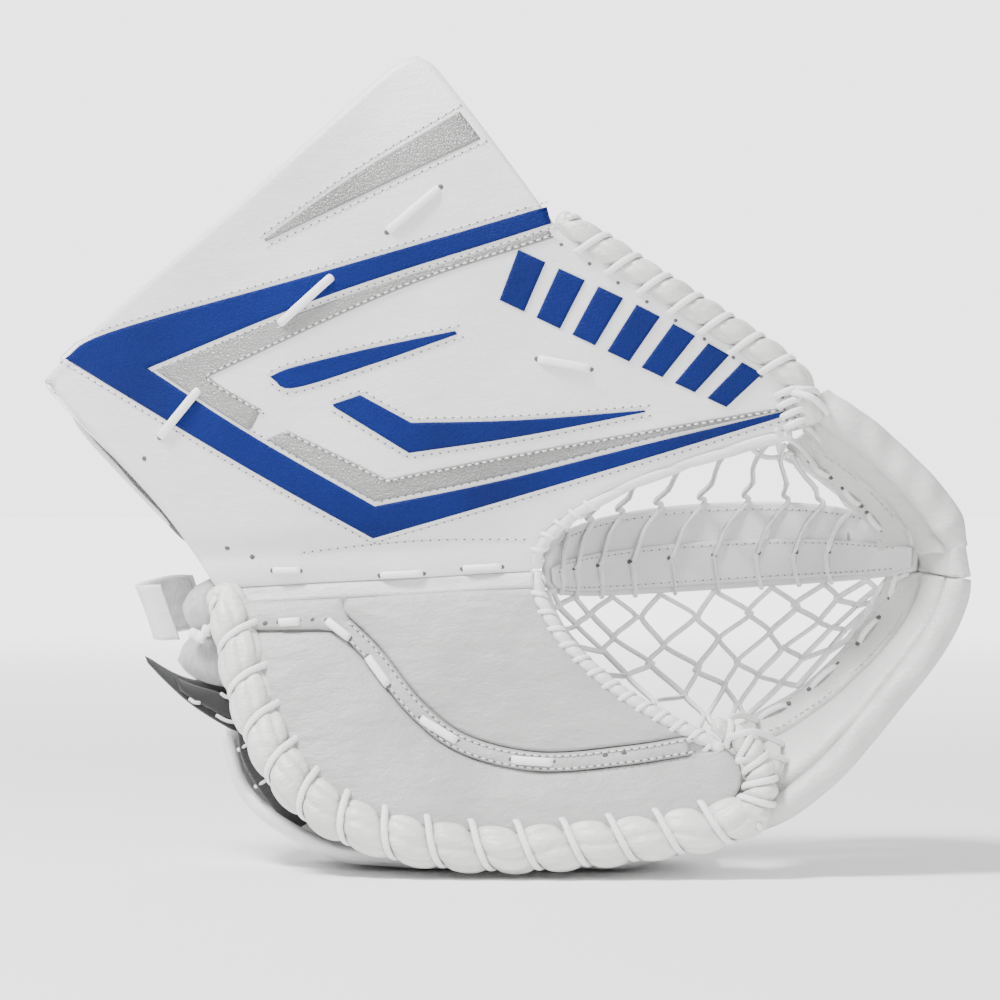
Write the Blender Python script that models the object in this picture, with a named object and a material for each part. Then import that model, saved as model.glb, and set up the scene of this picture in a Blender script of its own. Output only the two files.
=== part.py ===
"""Goalie catch glove, standing on its finger rim with the open palm towards -Y.

The glove folds on two parallel break lines that run from the heel of the hand to the apex of the
T-shaped web. The strip between the lines (the spine) carries the T's stem; the thumb board with the
cuff turns about the upper line and the finger board about the lower one.

Lengths are millimetres and become metres when a mesh is made. x runs along the glove from the cuff
corner to the T's apex, z is up from the resting face, y goes from the palm side to the back.
"""
import math

import bmesh
import bpy
from mathutils import Vector
from mathutils.geometry import delaunay_2d_cdt

MM = 0.001

# ---- overall size -------------------------------------------------------------------------------
GLOVE_LENGTH = 403.0        # cuff corner to T apex
GLOVE_HEIGHT = 352.0        # resting face to the cuff's upper corner
DRAWN_LENGTH = 403.0        # the size at which the outlines below are drawn
DRAWN_HEIGHT = 352.0
LENGTH_RATIO = GLOVE_LENGTH / DRAWN_LENGTH
HEIGHT_RATIO = GLOVE_HEIGHT / DRAWN_HEIGHT
FRAME_SHIFT = (6.3, -10.0, 0.0)   # puts the row's origin under the middle of the glove

# ---- layers of the two boards ---------------------------------------------------------------------
SKIN = 3.0                  # leather face over its stitching pad
THUMB_FOAM = 8.0
PALM_FOAM = 6.0
BOARD = 2.0                 # moulded plastic stiffener
LINER = 2.4                 # terry lining
LAYER_GAP = 0.7             # clearance between two layers of a board
SEAM_GAP = 1.0              # clearance between neighbours sewn edge to edge
TRIM = 0.8                  # coloured leather sewn on the cuff
TRIM_GAP = 0.9 * max(1.0, LENGTH_RATIO)    # clearance between a trim piece and the face under it

# ---- laces, rolls and bindings ----------------------------------------------------------------------
LACE_R = 1.3
LACE_GAP = 0.5
LACE_PITCH = 20.0           # distance between two wraps of an edge lace
PALM_ROLL_R = 7.0
THUMB_ROLL_R = 5.0
T_ROLL_UPPER_R = 7.5
T_ROLL_LOWER_R = 5.5
RIM_R = 2.8                 # binding around the pocket's mouth
NET_BAR = 3.0               # lace thickness in the pocket net

# ---- fold -------------------------------------------------------------------------------------------
SPINE_HALF = 4.0            # half the distance between the two break lines
FOLD_GAP = 1.2              # clearance between the spine and each half
BREAK_HEEL = (-136.0, 4.0, 121.5)
BREAK_APEX = (205.0, -46.0, 141.0)

# ---- pocket web ----------------------------------------------------------------------------------------
T_BAND = 8.0                # padded band of the T
T_FLAP = 3.5                # laced inner flap of the T
T_FRONT_Y = -41.0           # depth of the T's front roll
T_INNER_Y = -6.0            # depth of the T band's inner edge
T_FLAP_Y = 10.0             # depth of the flap's laced edge
STEM_THICK = 4.0
STEM_HALF = 20.0            # half the width of the T's stem at its middle
STEM_ROOT_HALF = 6.5        # half its width at the crotch
NET_CLEAR = 3.2             # clearance between the net and what it is laced to

# ---- hand space ----------------------------------------------------------------------------------------
SHELL = 6.0                 # moulded finger-back and thumb-back shells
FINGER_SHELL_Y = 52.0       # depth of the finger shell's outer face
THUMB_SHELL_Y = 26.0        # depth of the thumb shell's outer face
BACK_FOAM = 7.0
STALL_R = 10.5 * min(1.0, HEIGHT_RATIO)    # finger stall, outer radius
STALL_WALL = 1.6
THUMB_STALL_R = 11.5 * min(1.0, HEIGHT_RATIO)
STRAP = 2.2                 # webbing thickness
STRAP_WIDTH = 22.0
STRAP_HINGE = (-125.0, 14.0, 71.5)     # where the pulled tab leaves its sewn base
STRAP_ACROSS = (-0.36, 0.93)           # direction of the strap's width
CUFF_LOOP_WIDTH = 15.0
BACKHAND_PAD = 11.0

THUMB_STACK = SKIN + THUMB_FOAM + BOARD + LINER + 3.0 * LAYER_GAP
PALM_STACK = SKIN + PALM_FOAM + BOARD + LINER + 3.0 * LAYER_GAP


# ---- scene, materials and bodies ---------------------------------------------------------------------------
def clear_scene():
    """Remove every object and leave an empty scene."""
    for item in list(bpy.data.objects):
        bpy.data.objects.remove(item, do_unlink=True)


def material(name, colour, roughness, metallic=0.0):
    """A plain Principled material."""
    made = bpy.data.materials.new(name)
    made.use_nodes = True
    shader = made.node_tree.nodes["Principled BSDF"]
    shader.inputs["Base Color"].default_value = (*colour, 1.0)
    shader.inputs["Roughness"].default_value = roughness
    shader.inputs["Metallic"].default_value = metallic
    return made


def make_materials():
    """Every material of the glove by its short name."""
    return {
        "white": material("white_leather", (0.80, 0.80, 0.81), 0.45),
        "palm": material("palm_leather", (0.58, 0.58, 0.60), 0.55),
        "blue": material("blue_leather", (0.02, 0.06, 0.42), 0.40),
        "silver": material("silver_leather", (0.42, 0.42, 0.44), 0.38, 0.3),
        "lace": material("lace", (0.72, 0.72, 0.72), 0.60),
        "foam": material("foam", (0.10, 0.10, 0.11), 0.95),
        "board": material("stiffener", (0.75, 0.74, 0.68), 0.50),
        "liner": material("terry_liner", (0.16, 0.16, 0.18), 0.95),
        "satin": material("satin_liner", (0.45, 0.45, 0.47), 0.30),
        "web": material("black_webbing", (0.02, 0.02, 0.02), 0.80),
    }


def world(point):
    """Glove millimetres to world metres."""
    return Vector([(value + shift) * MM for value, shift in zip(point, FRAME_SHIFT)])


def body(name, point):
    """The empty that carries one rigid body, placed on the joint's axis."""
    empty = bpy.data.objects.new(name, None)
    empty.empty_display_size = 0.02
    empty.location = world(point)
    bpy.context.collection.objects.link(empty)
    return empty


def add_object(name, mesh, carrier, look):
    """Link a mesh or curve whose points are local to its carrier."""
    made = bpy.data.objects.new(name, mesh)
    mesh.materials.append(look)
    bpy.context.collection.objects.link(made)
    made.parent = carrier
    return made


def solid(name, points, faces, carrier, look):
    """One closed body from points in glove millimetres."""
    build = bmesh.new()
    verts = [build.verts.new(world(point) - carrier.location) for point in points]
    for face in faces:
        build.faces.new([verts[index] for index in face])
    bmesh.ops.triangulate(build, faces=build.faces[:])
    bmesh.ops.recalc_face_normals(build, faces=build.faces[:])
    mesh = bpy.data.meshes.new(name)
    build.to_mesh(mesh)
    build.free()
    mesh.shade_smooth()
    mesh.set_sharp_from_angle(angle=math.radians(40.0))
    return add_object(name, mesh, carrier, look)


# ---- curves ---------------------------------------------------------------------------------------------------
def drawn(points):
    """Outline points at the glove's set size."""
    return [(x * LENGTH_RATIO, z * HEIGHT_RATIO) for x, z in points]


def blend_point(points, position):
    """Catmull-Rom point at a position counted in points."""
    index = min(int(position), len(points) - 2)
    share = position - index
    before = points[max(index - 1, 0)]
    start, end = points[index], points[index + 1]
    after = points[min(index + 2, len(points) - 1)]
    return tuple(
        0.5 * (2.0 * b + (c - a) * share + (2.0 * a - 5.0 * b + 4.0 * c - d) * share ** 2
               + (3.0 * b - a - 3.0 * c + d) * share ** 3)
        for a, b, c, d in zip(before, start, end, after))


def resample(points, count):
    """The same polyline with count evenly spaced points."""
    reach = [0.0]
    for first, second in zip(points, points[1:]):
        reach.append(reach[-1] + math.dist(first, second))
    made = []
    index = 0
    for step in range(count):
        target = reach[-1] * step / (count - 1)
        while index < len(points) - 2 and reach[index + 1] < target:
            index += 1
        share = (target - reach[index]) / max(reach[index + 1] - reach[index], 1e-9)
        made.append(tuple(a + (b - a) * share for a, b in zip(points[index], points[index + 1])))
    return made


def length_of(points):
    """Length of a polyline."""
    return sum(math.dist(first, second) for first, second in zip(points, points[1:]))


def smooth(points, step=None, count=None):
    """A smooth curve through the points, resampled by step or count."""
    fine = [blend_point(points, index / 8.0) for index in range(8 * (len(points) - 1) + 1)]
    if count is None:
        count = max(2, round(length_of(fine) / step) + 1)
    return resample(fine, count)


def outline(*stretches, step=14.0):
    """A closed outline of smooth stretches that meet at corners."""
    made = []
    for stretch in stretches:
        made += smooth(stretch, step)
    kept = []
    for point in made:
        if not kept or math.dist(point, kept[-1]) > 0.5:
            kept.append(point)
    if math.dist(kept[0], kept[-1]) < 0.5:
        kept.pop()
    return kept


def shifted(points, distance):
    """An open x,z curve moved sideways, to the left of its direction when distance is positive."""
    made = []
    for index, point in enumerate(points):
        first = points[max(index - 1, 0)]
        second = points[min(index + 1, len(points) - 1)]
        run, rise = second[0] - first[0], second[1] - first[1]
        size = math.hypot(run, rise)
        made.append((point[0] - rise / size * distance, point[1] + run / size * distance))
    return made


def between(first, second, share):
    """Point part of the way between two points."""
    return tuple(a + (b - a) * share for a, b in zip(first, second))


def towards(first, second, distance):
    """The point at a distance from first on the way to second."""
    return between(first, second, distance / math.dist(first, second))


# ---- the two boards as surfaces y(x, z) ---------------------------------------------------------------------------
def break_z(x):
    """Height of the middle of the break at x."""
    share = (x / LENGTH_RATIO - BREAK_HEEL[0]) / (BREAK_APEX[0] - BREAK_HEEL[0])
    return (BREAK_HEEL[2] + (BREAK_APEX[2] - BREAK_HEEL[2]) * share) * HEIGHT_RATIO


def break_y(x):
    """Depth of the break at x."""
    share = (x / LENGTH_RATIO - BREAK_HEEL[0]) / (BREAK_APEX[0] - BREAK_HEEL[0])
    return BREAK_HEEL[1] + (BREAK_APEX[1] - BREAK_HEEL[1]) * share


def thumb_y(x, z):
    """Front face of the cuff and thumb board: it leans forward, and the cuff is a shallow gutter."""
    rise = max(z - break_z(x), 0.0)
    lean = 0.16 * rise + 7.0 * (1.0 - math.exp(-rise / 45.0))
    gutter_x, gutter_z = -123.0 * LENGTH_RATIO, 283.0 * HEIGHT_RATIO
    across = 0.741 * (x - gutter_x) + 0.673 * (z - gutter_z)
    along = 0.673 * (x - gutter_x) - 0.741 * (z - gutter_z)
    fade = min(max(1.0 - along / 110.0, 0.0), 1.0) ** 2
    curl = 0.0017 * across ** 2 * fade
    return break_y(x) + 2.0 - lean + curl


def palm_y(x, z):
    """Front face of the finger board: it leans forward towards the finger rim and is dished."""
    drop = max(break_z(x) - z, 0.0)
    share = min(drop / (115.0 * HEIGHT_RATIO), 1.15)
    rim_y = -44.0
    dish = 5.0 * math.sin(math.pi * min(share, 1.0))
    return break_y(x) + 2.0 + share * (rim_y - break_y(x) - 2.0) - 5.0 * (1.0 - math.exp(-drop / 45.0)) + dish


# ---- ways of making a solid ---------------------------------------------------------------------------------------
def inside(point, loop):
    """Whether an x,z point lies inside a closed outline."""
    x, z = point
    hit = False
    for (x1, z1), (x2, z2) in zip(loop, loop[1:] + loop[:1]):
        if (z1 > z) != (z2 > z) and x < x1 + (z - z1) * (x2 - x1) / (z2 - z1):
            hit = not hit
    return hit


def gap_to(point, loop):
    """Distance from a point to an outline."""
    best = 1e9
    for first, second in zip(loop, loop[1:] + loop[:1]):
        run = (second[0] - first[0], second[1] - first[1])
        size = run[0] ** 2 + run[1] ** 2
        share = ((point[0] - first[0]) * run[0] + (point[1] - first[1]) * run[1]) / size
        best = min(best, math.dist(point, between(first, second, min(max(share, 0.0), 1.0))))
    return best


def panel(name, loop, surface, back, thick, carrier, look, spacing=17.0):
    """A sewn piece: an x,z outline laid on a surface, with its front face at depth back."""
    low_x, high_x = min(p[0] for p in loop), max(p[0] for p in loop)
    low_z, high_z = min(p[1] for p in loop), max(p[1] for p in loop)
    points = list(loop)
    for column in range(int((high_x - low_x) / spacing) + 1):
        for row in range(int((high_z - low_z) / spacing) + 1):
            point = (low_x + spacing * (column + 0.5 * (row % 2) + 0.25), low_z + spacing * (row + 0.5))
            if inside(point, loop) and gap_to(point, loop) > 0.45 * spacing:
                points.append(point)
    found = delaunay_2d_cdt([Vector(p) for p in points], [], [list(range(len(loop)))], 1, 1e-4)
    flat, triangles = found[0], found[2]
    count = len(flat)
    verts = [(p.x, surface(p.x, p.y) + back, p.y) for p in flat]
    verts += [(x, y + thick, z) for x, y, z in verts]
    sides = {}
    for triangle in triangles:
        for a, b in zip(triangle, triangle[1:] + triangle[:1]):
            key = (min(a, b), max(a, b))
            sides[key] = None if key in sides else (a, b)
    faces = [tuple(t) for t in triangles] + [tuple(i + count for i in reversed(t)) for t in triangles]
    faces += [(edge[1], edge[0], edge[0] + count, edge[1] + count) for edge in sides.values() if edge]
    return solid(name, verts, faces, carrier, look)


def normals_of(rows):
    """Unit normals of a grid of points."""
    made = []
    for i, row in enumerate(rows):
        line = []
        for j in range(len(row)):
            up = Vector(rows[min(i + 1, len(rows) - 1)][j]) - Vector(rows[max(i - 1, 0)][j])
            along = Vector(row[min(j + 1, len(row) - 1)]) - Vector(row[max(j - 1, 0)])
            line.append(up.cross(along).normalized())
        made.append(line)
    return made


def shell(name, rows, thick, carrier, look):
    """A closed sheet from a grid of points, thickened along its normals."""
    height, width = len(rows), len(rows[0])
    normals = normals_of(rows)
    verts = [tuple(p) for row in rows for p in row]
    verts += [tuple(Vector(rows[i][j]) + normals[i][j] * thick) for i in range(height) for j in range(width)]
    count = height * width
    faces = []
    for i in range(height - 1):
        for j in range(width - 1):
            a, b = i * width + j, i * width + j + 1
            c, d = b + width, a + width
            faces += [(a, b, c, d), (d + count, c + count, b + count, a + count)]
    rim = [j for j in range(width)] + [i * width + width - 1 for i in range(1, height)]
    rim += [(height - 1) * width + j for j in range(width - 2, -1, -1)]
    rim += [i * width for i in range(height - 2, 0, -1)]
    for a, b in zip(rim, rim[1:] + rim[:1]):
        faces.append((b, a, a + count, b + count))
    return solid(name, verts, faces, carrier, look)


def tube(name, points, radius, carrier, look, roundness=2):
    """A round cord or roll along a path, with closed ends."""
    curve = bpy.data.curves.new(name, "CURVE")
    curve.dimensions = "3D"
    curve.bevel_depth = radius * MM
    curve.bevel_resolution = roundness
    curve.use_fill_caps = True
    curve.resolution_u = 1
    curve.render_resolution_u = 0
    spline = curve.splines.new("POLY")
    spline.points.add(len(points) - 1)
    for target, point in zip(spline.points, points):
        target.co = (*(world(point) - carrier.location), 1.0)
    return add_object(name, curve, carrier, look)


def wrapped(points, radius, pitch, per_turn=8):
    """A helix around a path: the lace that wraps a roll."""
    total = length_of(points)
    turns = max(1, round(total / pitch))
    count = turns * per_turn + 1
    path = [Vector(p) for p in resample(points, count)]
    made = []
    side = None
    for index, point in enumerate(path):
        ahead = (path[min(index + 1, count - 1)] - path[max(index - 1, 0)]).normalized()
        side = Vector((0.0, -1.0, 0.0)) if side is None else side
        side = (side - ahead * side.dot(ahead)).normalized()
        other = ahead.cross(side)
        angle = 2.0 * math.pi * index / per_turn
        made.append(tuple(point + side * (radius * math.cos(angle)) + other * (radius * math.sin(angle))))
    return made


def stall(name, start, end, radius, wall, carrier, look, sides=10):
    """A finger stall: a sewn tube with a closed tip, open towards the wrist."""
    axis = (Vector(end) - Vector(start)).normalized()
    side = axis.cross(Vector((0.0, 0.0, 1.0))).normalized()
    other = axis.cross(side)
    reach = math.dist(start, end)
    profile = [(0.0, radius), (0.5 * reach, radius), (reach - 0.5 * radius, radius),
               (reach, 0.55 * radius), (reach - wall, 0.55 * radius - 0.6 * wall),
               (reach - 0.5 * radius - wall, radius - wall), (0.5 * reach, radius - wall),
               (0.0, radius - wall)]
    verts = []
    for along, size in profile:
        for step in range(sides):
            angle = 2.0 * math.pi * step / sides
            verts.append(tuple(Vector(start) + axis * along
                               + side * (size * math.cos(angle)) + other * (size * math.sin(angle))))
    faces = []
    rings = [(0, 1), (1, 2), (2, 3), (4, 5), (5, 6), (6, 7), (7, 0)]
    for first, second in rings:
        for step in range(sides):
            after = (step + 1) % sides
            faces.append((first * sides + step, first * sides + after,
                          second * sides + after, second * sides + step))
    faces.append(tuple(3 * sides + step for step in range(sides)))
    faces.append(tuple(4 * sides + step for step in reversed(range(sides))))
    return solid(name, verts, faces, carrier, look)


def on_grid(rows, u, v):
    """Point of a grid at shares u across the rows and v along them."""
    i = min(max(u, 0.0), 1.0) * (len(rows) - 1)
    j = min(max(v, 0.0), 1.0) * (len(rows[0]) - 1)
    i0, j0 = min(int(i), len(rows) - 2), min(int(j), len(rows[0]) - 2)
    low = between(rows[i0][j0], rows[i0][j0 + 1], j - j0)
    high = between(rows[i0 + 1][j0], rows[i0 + 1][j0 + 1], j - j0)
    return between(low, high, i - i0)


def net(name, rows, cells_u, cells_v, carrier, look, diamond):
    """A laced net: a lattice of square or diamond cells on a curved sheet, as one body."""
    build = bmesh.new()
    verts = {}

    def vert(i, j):
        if (i, j) not in verts:
            point = on_grid(rows, i / (2.0 * cells_u), j / (2.0 * cells_v))
            verts[i, j] = build.verts.new(world(point) - carrier.location)
        return verts[i, j]

    if diamond:
        for i in range(-1, 2 * cells_u + 1):
            for j in range(-1, 2 * cells_v + 1):
                if (i + j) % 2 == 0:
                    continue
                ring = [(i, j - 1), (i + 1, j), (i, j + 1), (i - 1, j)]
                ring = [c for c in ring if 0 <= c[0] <= 2 * cells_u and 0 <= c[1] <= 2 * cells_v]
                if not (0 <= i <= 2 * cells_u and 0 <= j <= 2 * cells_v):
                    continue
                if len(ring) >= 3:
                    build.faces.new([vert(*c) for c in ring])
    else:
        for i in range(0, 2 * cells_u, 2):
            for j in range(0, 2 * cells_v, 2):
                build.faces.new([vert(i, j), vert(i, j + 2), vert(i + 2, j + 2), vert(i + 2, j)])
    bmesh.ops.recalc_face_normals(build, faces=build.faces[:])
    mesh = bpy.data.meshes.new(name)
    build.to_mesh(mesh)
    build.free()
    made = add_object(name, mesh, carrier, look)
    lattice = made.modifiers.new("laces", "WIREFRAME")
    lattice.thickness = NET_BAR * MM
    lattice.use_even_offset = False
    lattice.use_boundary = True
    lattice.use_replace = True
    return made


# ---- outlines shared by several pieces ------------------------------------------------------------------------------
def break_edge(start_x, end_x, side):
    """The straight edge of one half along the break; side is +1 above the spine and -1 below."""
    offset = side * (SPINE_HALF + FOLD_GAP)
    ends = drawn([(start_x, 0.0), (end_x, 0.0)])
    return [(x, break_z(x) + offset) for x, _ in ends]


def thumb_top_edge():
    """Upper edge of the thumb, from the cuff's notch to the tip."""
    return drawn([(19, 277), (54, 253), (88, 231), (109, 217), (120, 208)])


def thumb_pocket_edge():
    """Pocket edge of the thumb board, from the tip to the crotch."""
    return drawn([(121, 191), (98, 185), (59, 172), (34, 160), (17, 147)]) + break_edge(9, 8, 1)[:1]


def thumb_outline():
    """Whole outline of the cuff and thumb board."""
    cuff = drawn([(-197, 203), (-203, 209), (-201, 219), (-115, 290), (-52, 346), (-42, 351), (-33, 347)])
    cuff = [(x, z) for x, z in cuff]
    side = drawn([(-33, 347), (-8, 314), (19, 277)])
    tip = drawn([(120, 208), (126, 200), (121, 191)])
    low = break_edge(9, -124, 1)
    heel = [low[1]] + drawn([(-138, 137), (-157, 161), (-197, 203)])
    return outline(cuff, side, thumb_top_edge(), tip, thumb_pocket_edge(), low, heel)


def palm_rim_edge():
    """Outer edge of the finger board, from the heel round the little finger to the fingertips."""
    start = break_edge(-113, 10, -1)[0]
    return [start] + drawn([(-110, 98), (-104, 80), (-95, 63), (-82, 47), (-66, 36), (-44, 29), (-14, 26),
                            (21, 26), (57, 29), (80, 36), (89, 45), (88, 54)])


def palm_pocket_edge():
    """Pocket edge of the finger board, from the crotch to the fingertips."""
    return [break_edge(-113, 10, -1)[1]] + drawn([(13, 113), (23, 97), (44, 78), (66, 65), (88, 54)])


def seam_line():
    """Middle of the seam strip that crosses the palm."""
    return drawn([(-77, 110), (-60, 94), (-41, 71), (-20, 56), (12, 49), (50, 52), (74, 55)])


# ---- thumb half -------------------------------------------------------------------------------------------------------
def build_thumb_board(carrier, looks):
    """The layers of the cuff and thumb board, front to back."""
    loop = thumb_outline()
    depth = 0.0
    for name, thick, look in (("cuff_face_panel", SKIN, "white"), ("cuff_foam_core", THUMB_FOAM, "foam"),
                              ("cuff_stiffener_board", BOARD, "board"), ("cuff_liner_panel", LINER, "liner")):
        panel(name, loop, thumb_y, depth, thick, carrier, looks[look])
        depth += thick + LAYER_GAP


def build_trim(carrier, looks):
    """Coloured leather sewn on the cuff and thumb."""
    pieces = {
        "blue_chevron": ("blue", [
            [(-190, 224), (-176, 233), (-90, 256), (4, 282), (13, 283)], [(13, 283), (16, 277)],
            [(16, 277), (-77, 249), (-158, 218)], [(-158, 218), (-113, 189), (-59, 158)],
            [(-59, 158), (-5, 169), (55, 184), (116, 196)], [(116, 196), (59, 179), (-5, 160), (-60, 144)],
            [(-60, 144), (-117, 176), (-190, 224)]]),
        "silver_upper_band": ("silver", [
            [(-152, 218), (-77, 247), (14, 274)], [(14, 274), (16, 271), (-47, 251), (-131, 215)],
            [(-131, 215), (-112, 203)], [(-112, 203), (-122, 199), (-152, 218)]]),
        "silver_lower_band": ("silver", [
            [(-104, 188), (-96, 191)], [(-96, 191), (-54, 170)], [(-54, 170), (4, 181), (60, 191), (106, 199)],
            [(106, 199), (106, 196)], [(106, 196), (55, 186), (-5, 171.5), (-59, 161)],
            [(-59, 161), (-104, 188)]]),
        "silver_flash": ("silver", [
            [(-106, 273), (-66, 300), (-24, 325)], [(-24, 325), (-15, 314)], [(-15, 314), (-48, 298), (-106, 273)]]),
        "blue_dart_upper": ("blue", [
            [(-104, 214), (-94, 218)], [(-94, 218), (-24, 233)], [(-24, 233), (-24, 230)],
            [(-24, 230), (-94, 209)], [(-94, 209), (-104, 214)]]),
        "blue_dart_lower": ("blue", [
            [(-77, 202), (-65, 206)], [(-65, 206), (-43, 194)], [(-43, 194), (4, 195), (57, 199)],
            [(57, 199), (4, 188), (-44, 181)], [(-44, 181), (-77, 202)]]),
        "emblem_patch": ("blue", [
            [(6, 265), (106, 210)], [(106, 210), (93, 201)], [(93, 201), (-2, 246)], [(-2, 246), (6, 265)]]),
    }
    for name, (look, stretches) in pieces.items():
        loop = outline(*[drawn(stretch) for stretch in stretches])
        panel(name, loop, thumb_y, -TRIM - TRIM_GAP, TRIM, carrier, looks[look])


def build_cuff_ties(carrier, looks):
    """Short crossing laces that hold the cuff's layers together."""
    ties = {"cuff_tie_top": ((-53, 275), (-30, 294)), "cuff_tie_middle": ((-99, 237), (-76, 257)),
            "cuff_tie_heel": ((-151, 191), (-136, 208)), "cuff_tie_thumb": ((12, 221), (33, 217))}
    lift = TRIM + TRIM_GAP + LACE_GAP + LACE_R
    for name, ends in ties.items():
        path = resample(drawn(ends), 7)
        points = []
        for index, (x, z) in enumerate(path):
            arch = math.sin(math.pi * index / 6.0)
            points.append((x, thumb_y(x, z) - lift - 0.9 * arch, z))
        tube(name, points, LACE_R, carrier, looks["lace"], 1)


def edge_path(edge, surface, distance, depth):
    """A path beside an edge: offset in the board's plane, at a depth behind its face."""
    made = []
    for (x, z), (face_x, face_z) in zip(shifted(edge, distance), edge):
        made.append((x, surface(face_x, face_z) + depth, z))
    return made


def build_thumb_edges(carrier, looks):
    """The rolled top edge with its wrapping lace, and the binding of the pocket's mouth."""
    away = THUMB_ROLL_R + 2.0 * LACE_R + 2.0 * LACE_GAP + 0.4
    top = smooth(thumb_top_edge(), 12.0)
    roll = edge_path(top, thumb_y, away, 0.5 * THUMB_STACK - 4.0)
    tube("thumb_edge_roll", roll, THUMB_ROLL_R, carrier, looks["white"])
    lace = wrapped(roll[:], THUMB_ROLL_R + LACE_GAP + LACE_R, LACE_PITCH)
    tube("thumb_edge_lacing", lace, LACE_R, carrier, looks["lace"], 0)
    mouth = smooth(thumb_pocket_edge(), 12.0)[:-1]
    rim = edge_path(mouth, thumb_y, RIM_R + SEAM_GAP, RIM_R)
    rim = [point for point in rim if point[2] > break_z(point[0]) + SPINE_HALF + RIM_R + FOLD_GAP]
    tube("pocket_rim_thumb", rim, RIM_R, carrier, looks["white"], 1)


def thumb_shell_rows():
    """Sections of the thumb's back shell: over the top edge, down the back to above the net."""
    top = smooth(thumb_top_edge(), count=40)
    low = smooth(list(reversed(thumb_pocket_edge())), count=40)
    rows = []
    start_x, end_x = 24.0 * LENGTH_RATIO, 104.0 * LENGTH_RATIO
    for step in range(7):
        x = start_x + (end_x - start_x) * step / 6.0
        high_z = min(top, key=lambda p: abs(p[0] - x))[1] - 2.0
        low_z = min(low, key=lambda p: abs(p[0] - x))[1] + 12.0
        front = thumb_y(x, high_z) + THUMB_STACK + 5.0
        back = THUMB_SHELL_Y
        drop = high_z - low_z
        section = [(front, high_z), (0.5 * (front + back), high_z - 0.04 * drop), (back - 5.0, high_z - 0.14 * drop),
                   (back, high_z - 0.36 * drop), (back, high_z - 0.7 * drop), (back - 2.0, low_z)]
        rows.append([(x, y, z) for y, z in section])
    return rows


def build_thumb_shell(carrier, looks):
    """Back shell and inner stall of the thumb."""
    shell("thumb_back_shell", thumb_shell_rows(), -SHELL, carrier, looks["white"])
    ends = drawn([(26, 216), (98, 203)])
    depth = THUMB_STACK + 1.5 + THUMB_STALL_R
    start, end = [(x, thumb_y(x, z) + depth, z) for x, z in ends]
    stall("thumb_stall", start, end, THUMB_STALL_R, STALL_WALL, carrier, looks["liner"])


# ---- T web -----------------------------------------------------------------------------------------------------------
def with_depth(points, depth):
    """x,z points as x,y,z at one depth."""
    return [(x, depth, z) for x, z in points]


def t_curves(side):
    """Roll, band edge and flap edge of one arm of the T, each from its outer end to the apex."""
    if side > 0:
        roll = [(138, 197), (153, 186), (172, 168), (184, 153), (187, 148)]
        inner = [(138, 184), (150, 176), (164, 163), (175, 149)]
        flap = [(130, 177), (142, 167), (154, 155), (160, 148)]
    else:
        roll = [(120, 34), (139, 50), (160, 75), (180, 101), (189, 121), (189, 134)]
        inner = [(112, 53), (125, 61), (146, 76), (166, 96), (179, 116), (182, 131)]
        flap = [(110, 66), (126, 76), (144, 92), (159, 110), (167, 130)]
    count = 7 if side > 0 else 11
    return (with_depth(smooth(drawn(roll), count=count), T_FRONT_Y),
            with_depth(smooth(drawn(inner), count=count), T_INNER_Y),
            with_depth(smooth(drawn(flap), count=count), T_FLAP_Y))


def build_t_arm(side, names, roll_r, carrier, looks):
    """One arm of the T: front roll, padded band and laced inner flap."""
    roll, inner, flap = t_curves(side)
    tube(names[0], roll, roll_r, carrier, looks["white"])
    rows = []
    for share in (0.0, 0.5, 1.0):
        rows.append([between(towards(a, b, roll_r + SEAM_GAP), b, share) for a, b in zip(roll, inner)])
    outward = -side * T_BAND
    shell(names[1], rows, outward, carrier, looks["white"])
    rows = []
    for share in (0.0, 1.0):
        rows.append([between(towards(b, c, 2.0 * SEAM_GAP), c, share) for b, c in zip(inner, flap)])
    shell(names[2], rows, -side * T_FLAP, carrier, looks["white"])


def stem_path():
    """Middle line of the T's stem: from the crotch round the back of the pocket to the apex."""
    plan = [(17, 2), (25, 30), (46, 58), (78, 73), (112, 69), (138, 49), (150, 31)]
    path = smooth([(x * LENGTH_RATIO, y) for x, y in plan], count=13)
    made = []
    for index, (x, y) in enumerate(path):
        share = index / (len(path) - 1)
        made.append((x, y, break_z(x) + 5.0 * math.sin(math.pi * share)))
    return made


def stem_half(share):
    """Half the stem's width along its length."""
    end = 0.6 * STEM_HALF
    swell = math.sin(math.pi * min(share, 1.0)) ** 0.7 if 0.0 < share < 1.0 else 0.0
    base = STEM_ROOT_HALF + (end - STEM_ROOT_HALF) * share
    return base + (STEM_HALF - base) * swell


def build_stem(carrier, looks):
    """The stem of the T behind the net."""
    path = stem_path()
    rows = []
    for level in (-1.0, 0.0, 1.0):
        row = []
        for index, (x, y, z) in enumerate(path):
            row.append((x, y, z + level * stem_half(index / (len(path) - 1))))
        rows.append(row)
    shell("t_stem", rows, -STEM_THICK, carrier, looks["palm"])


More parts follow.
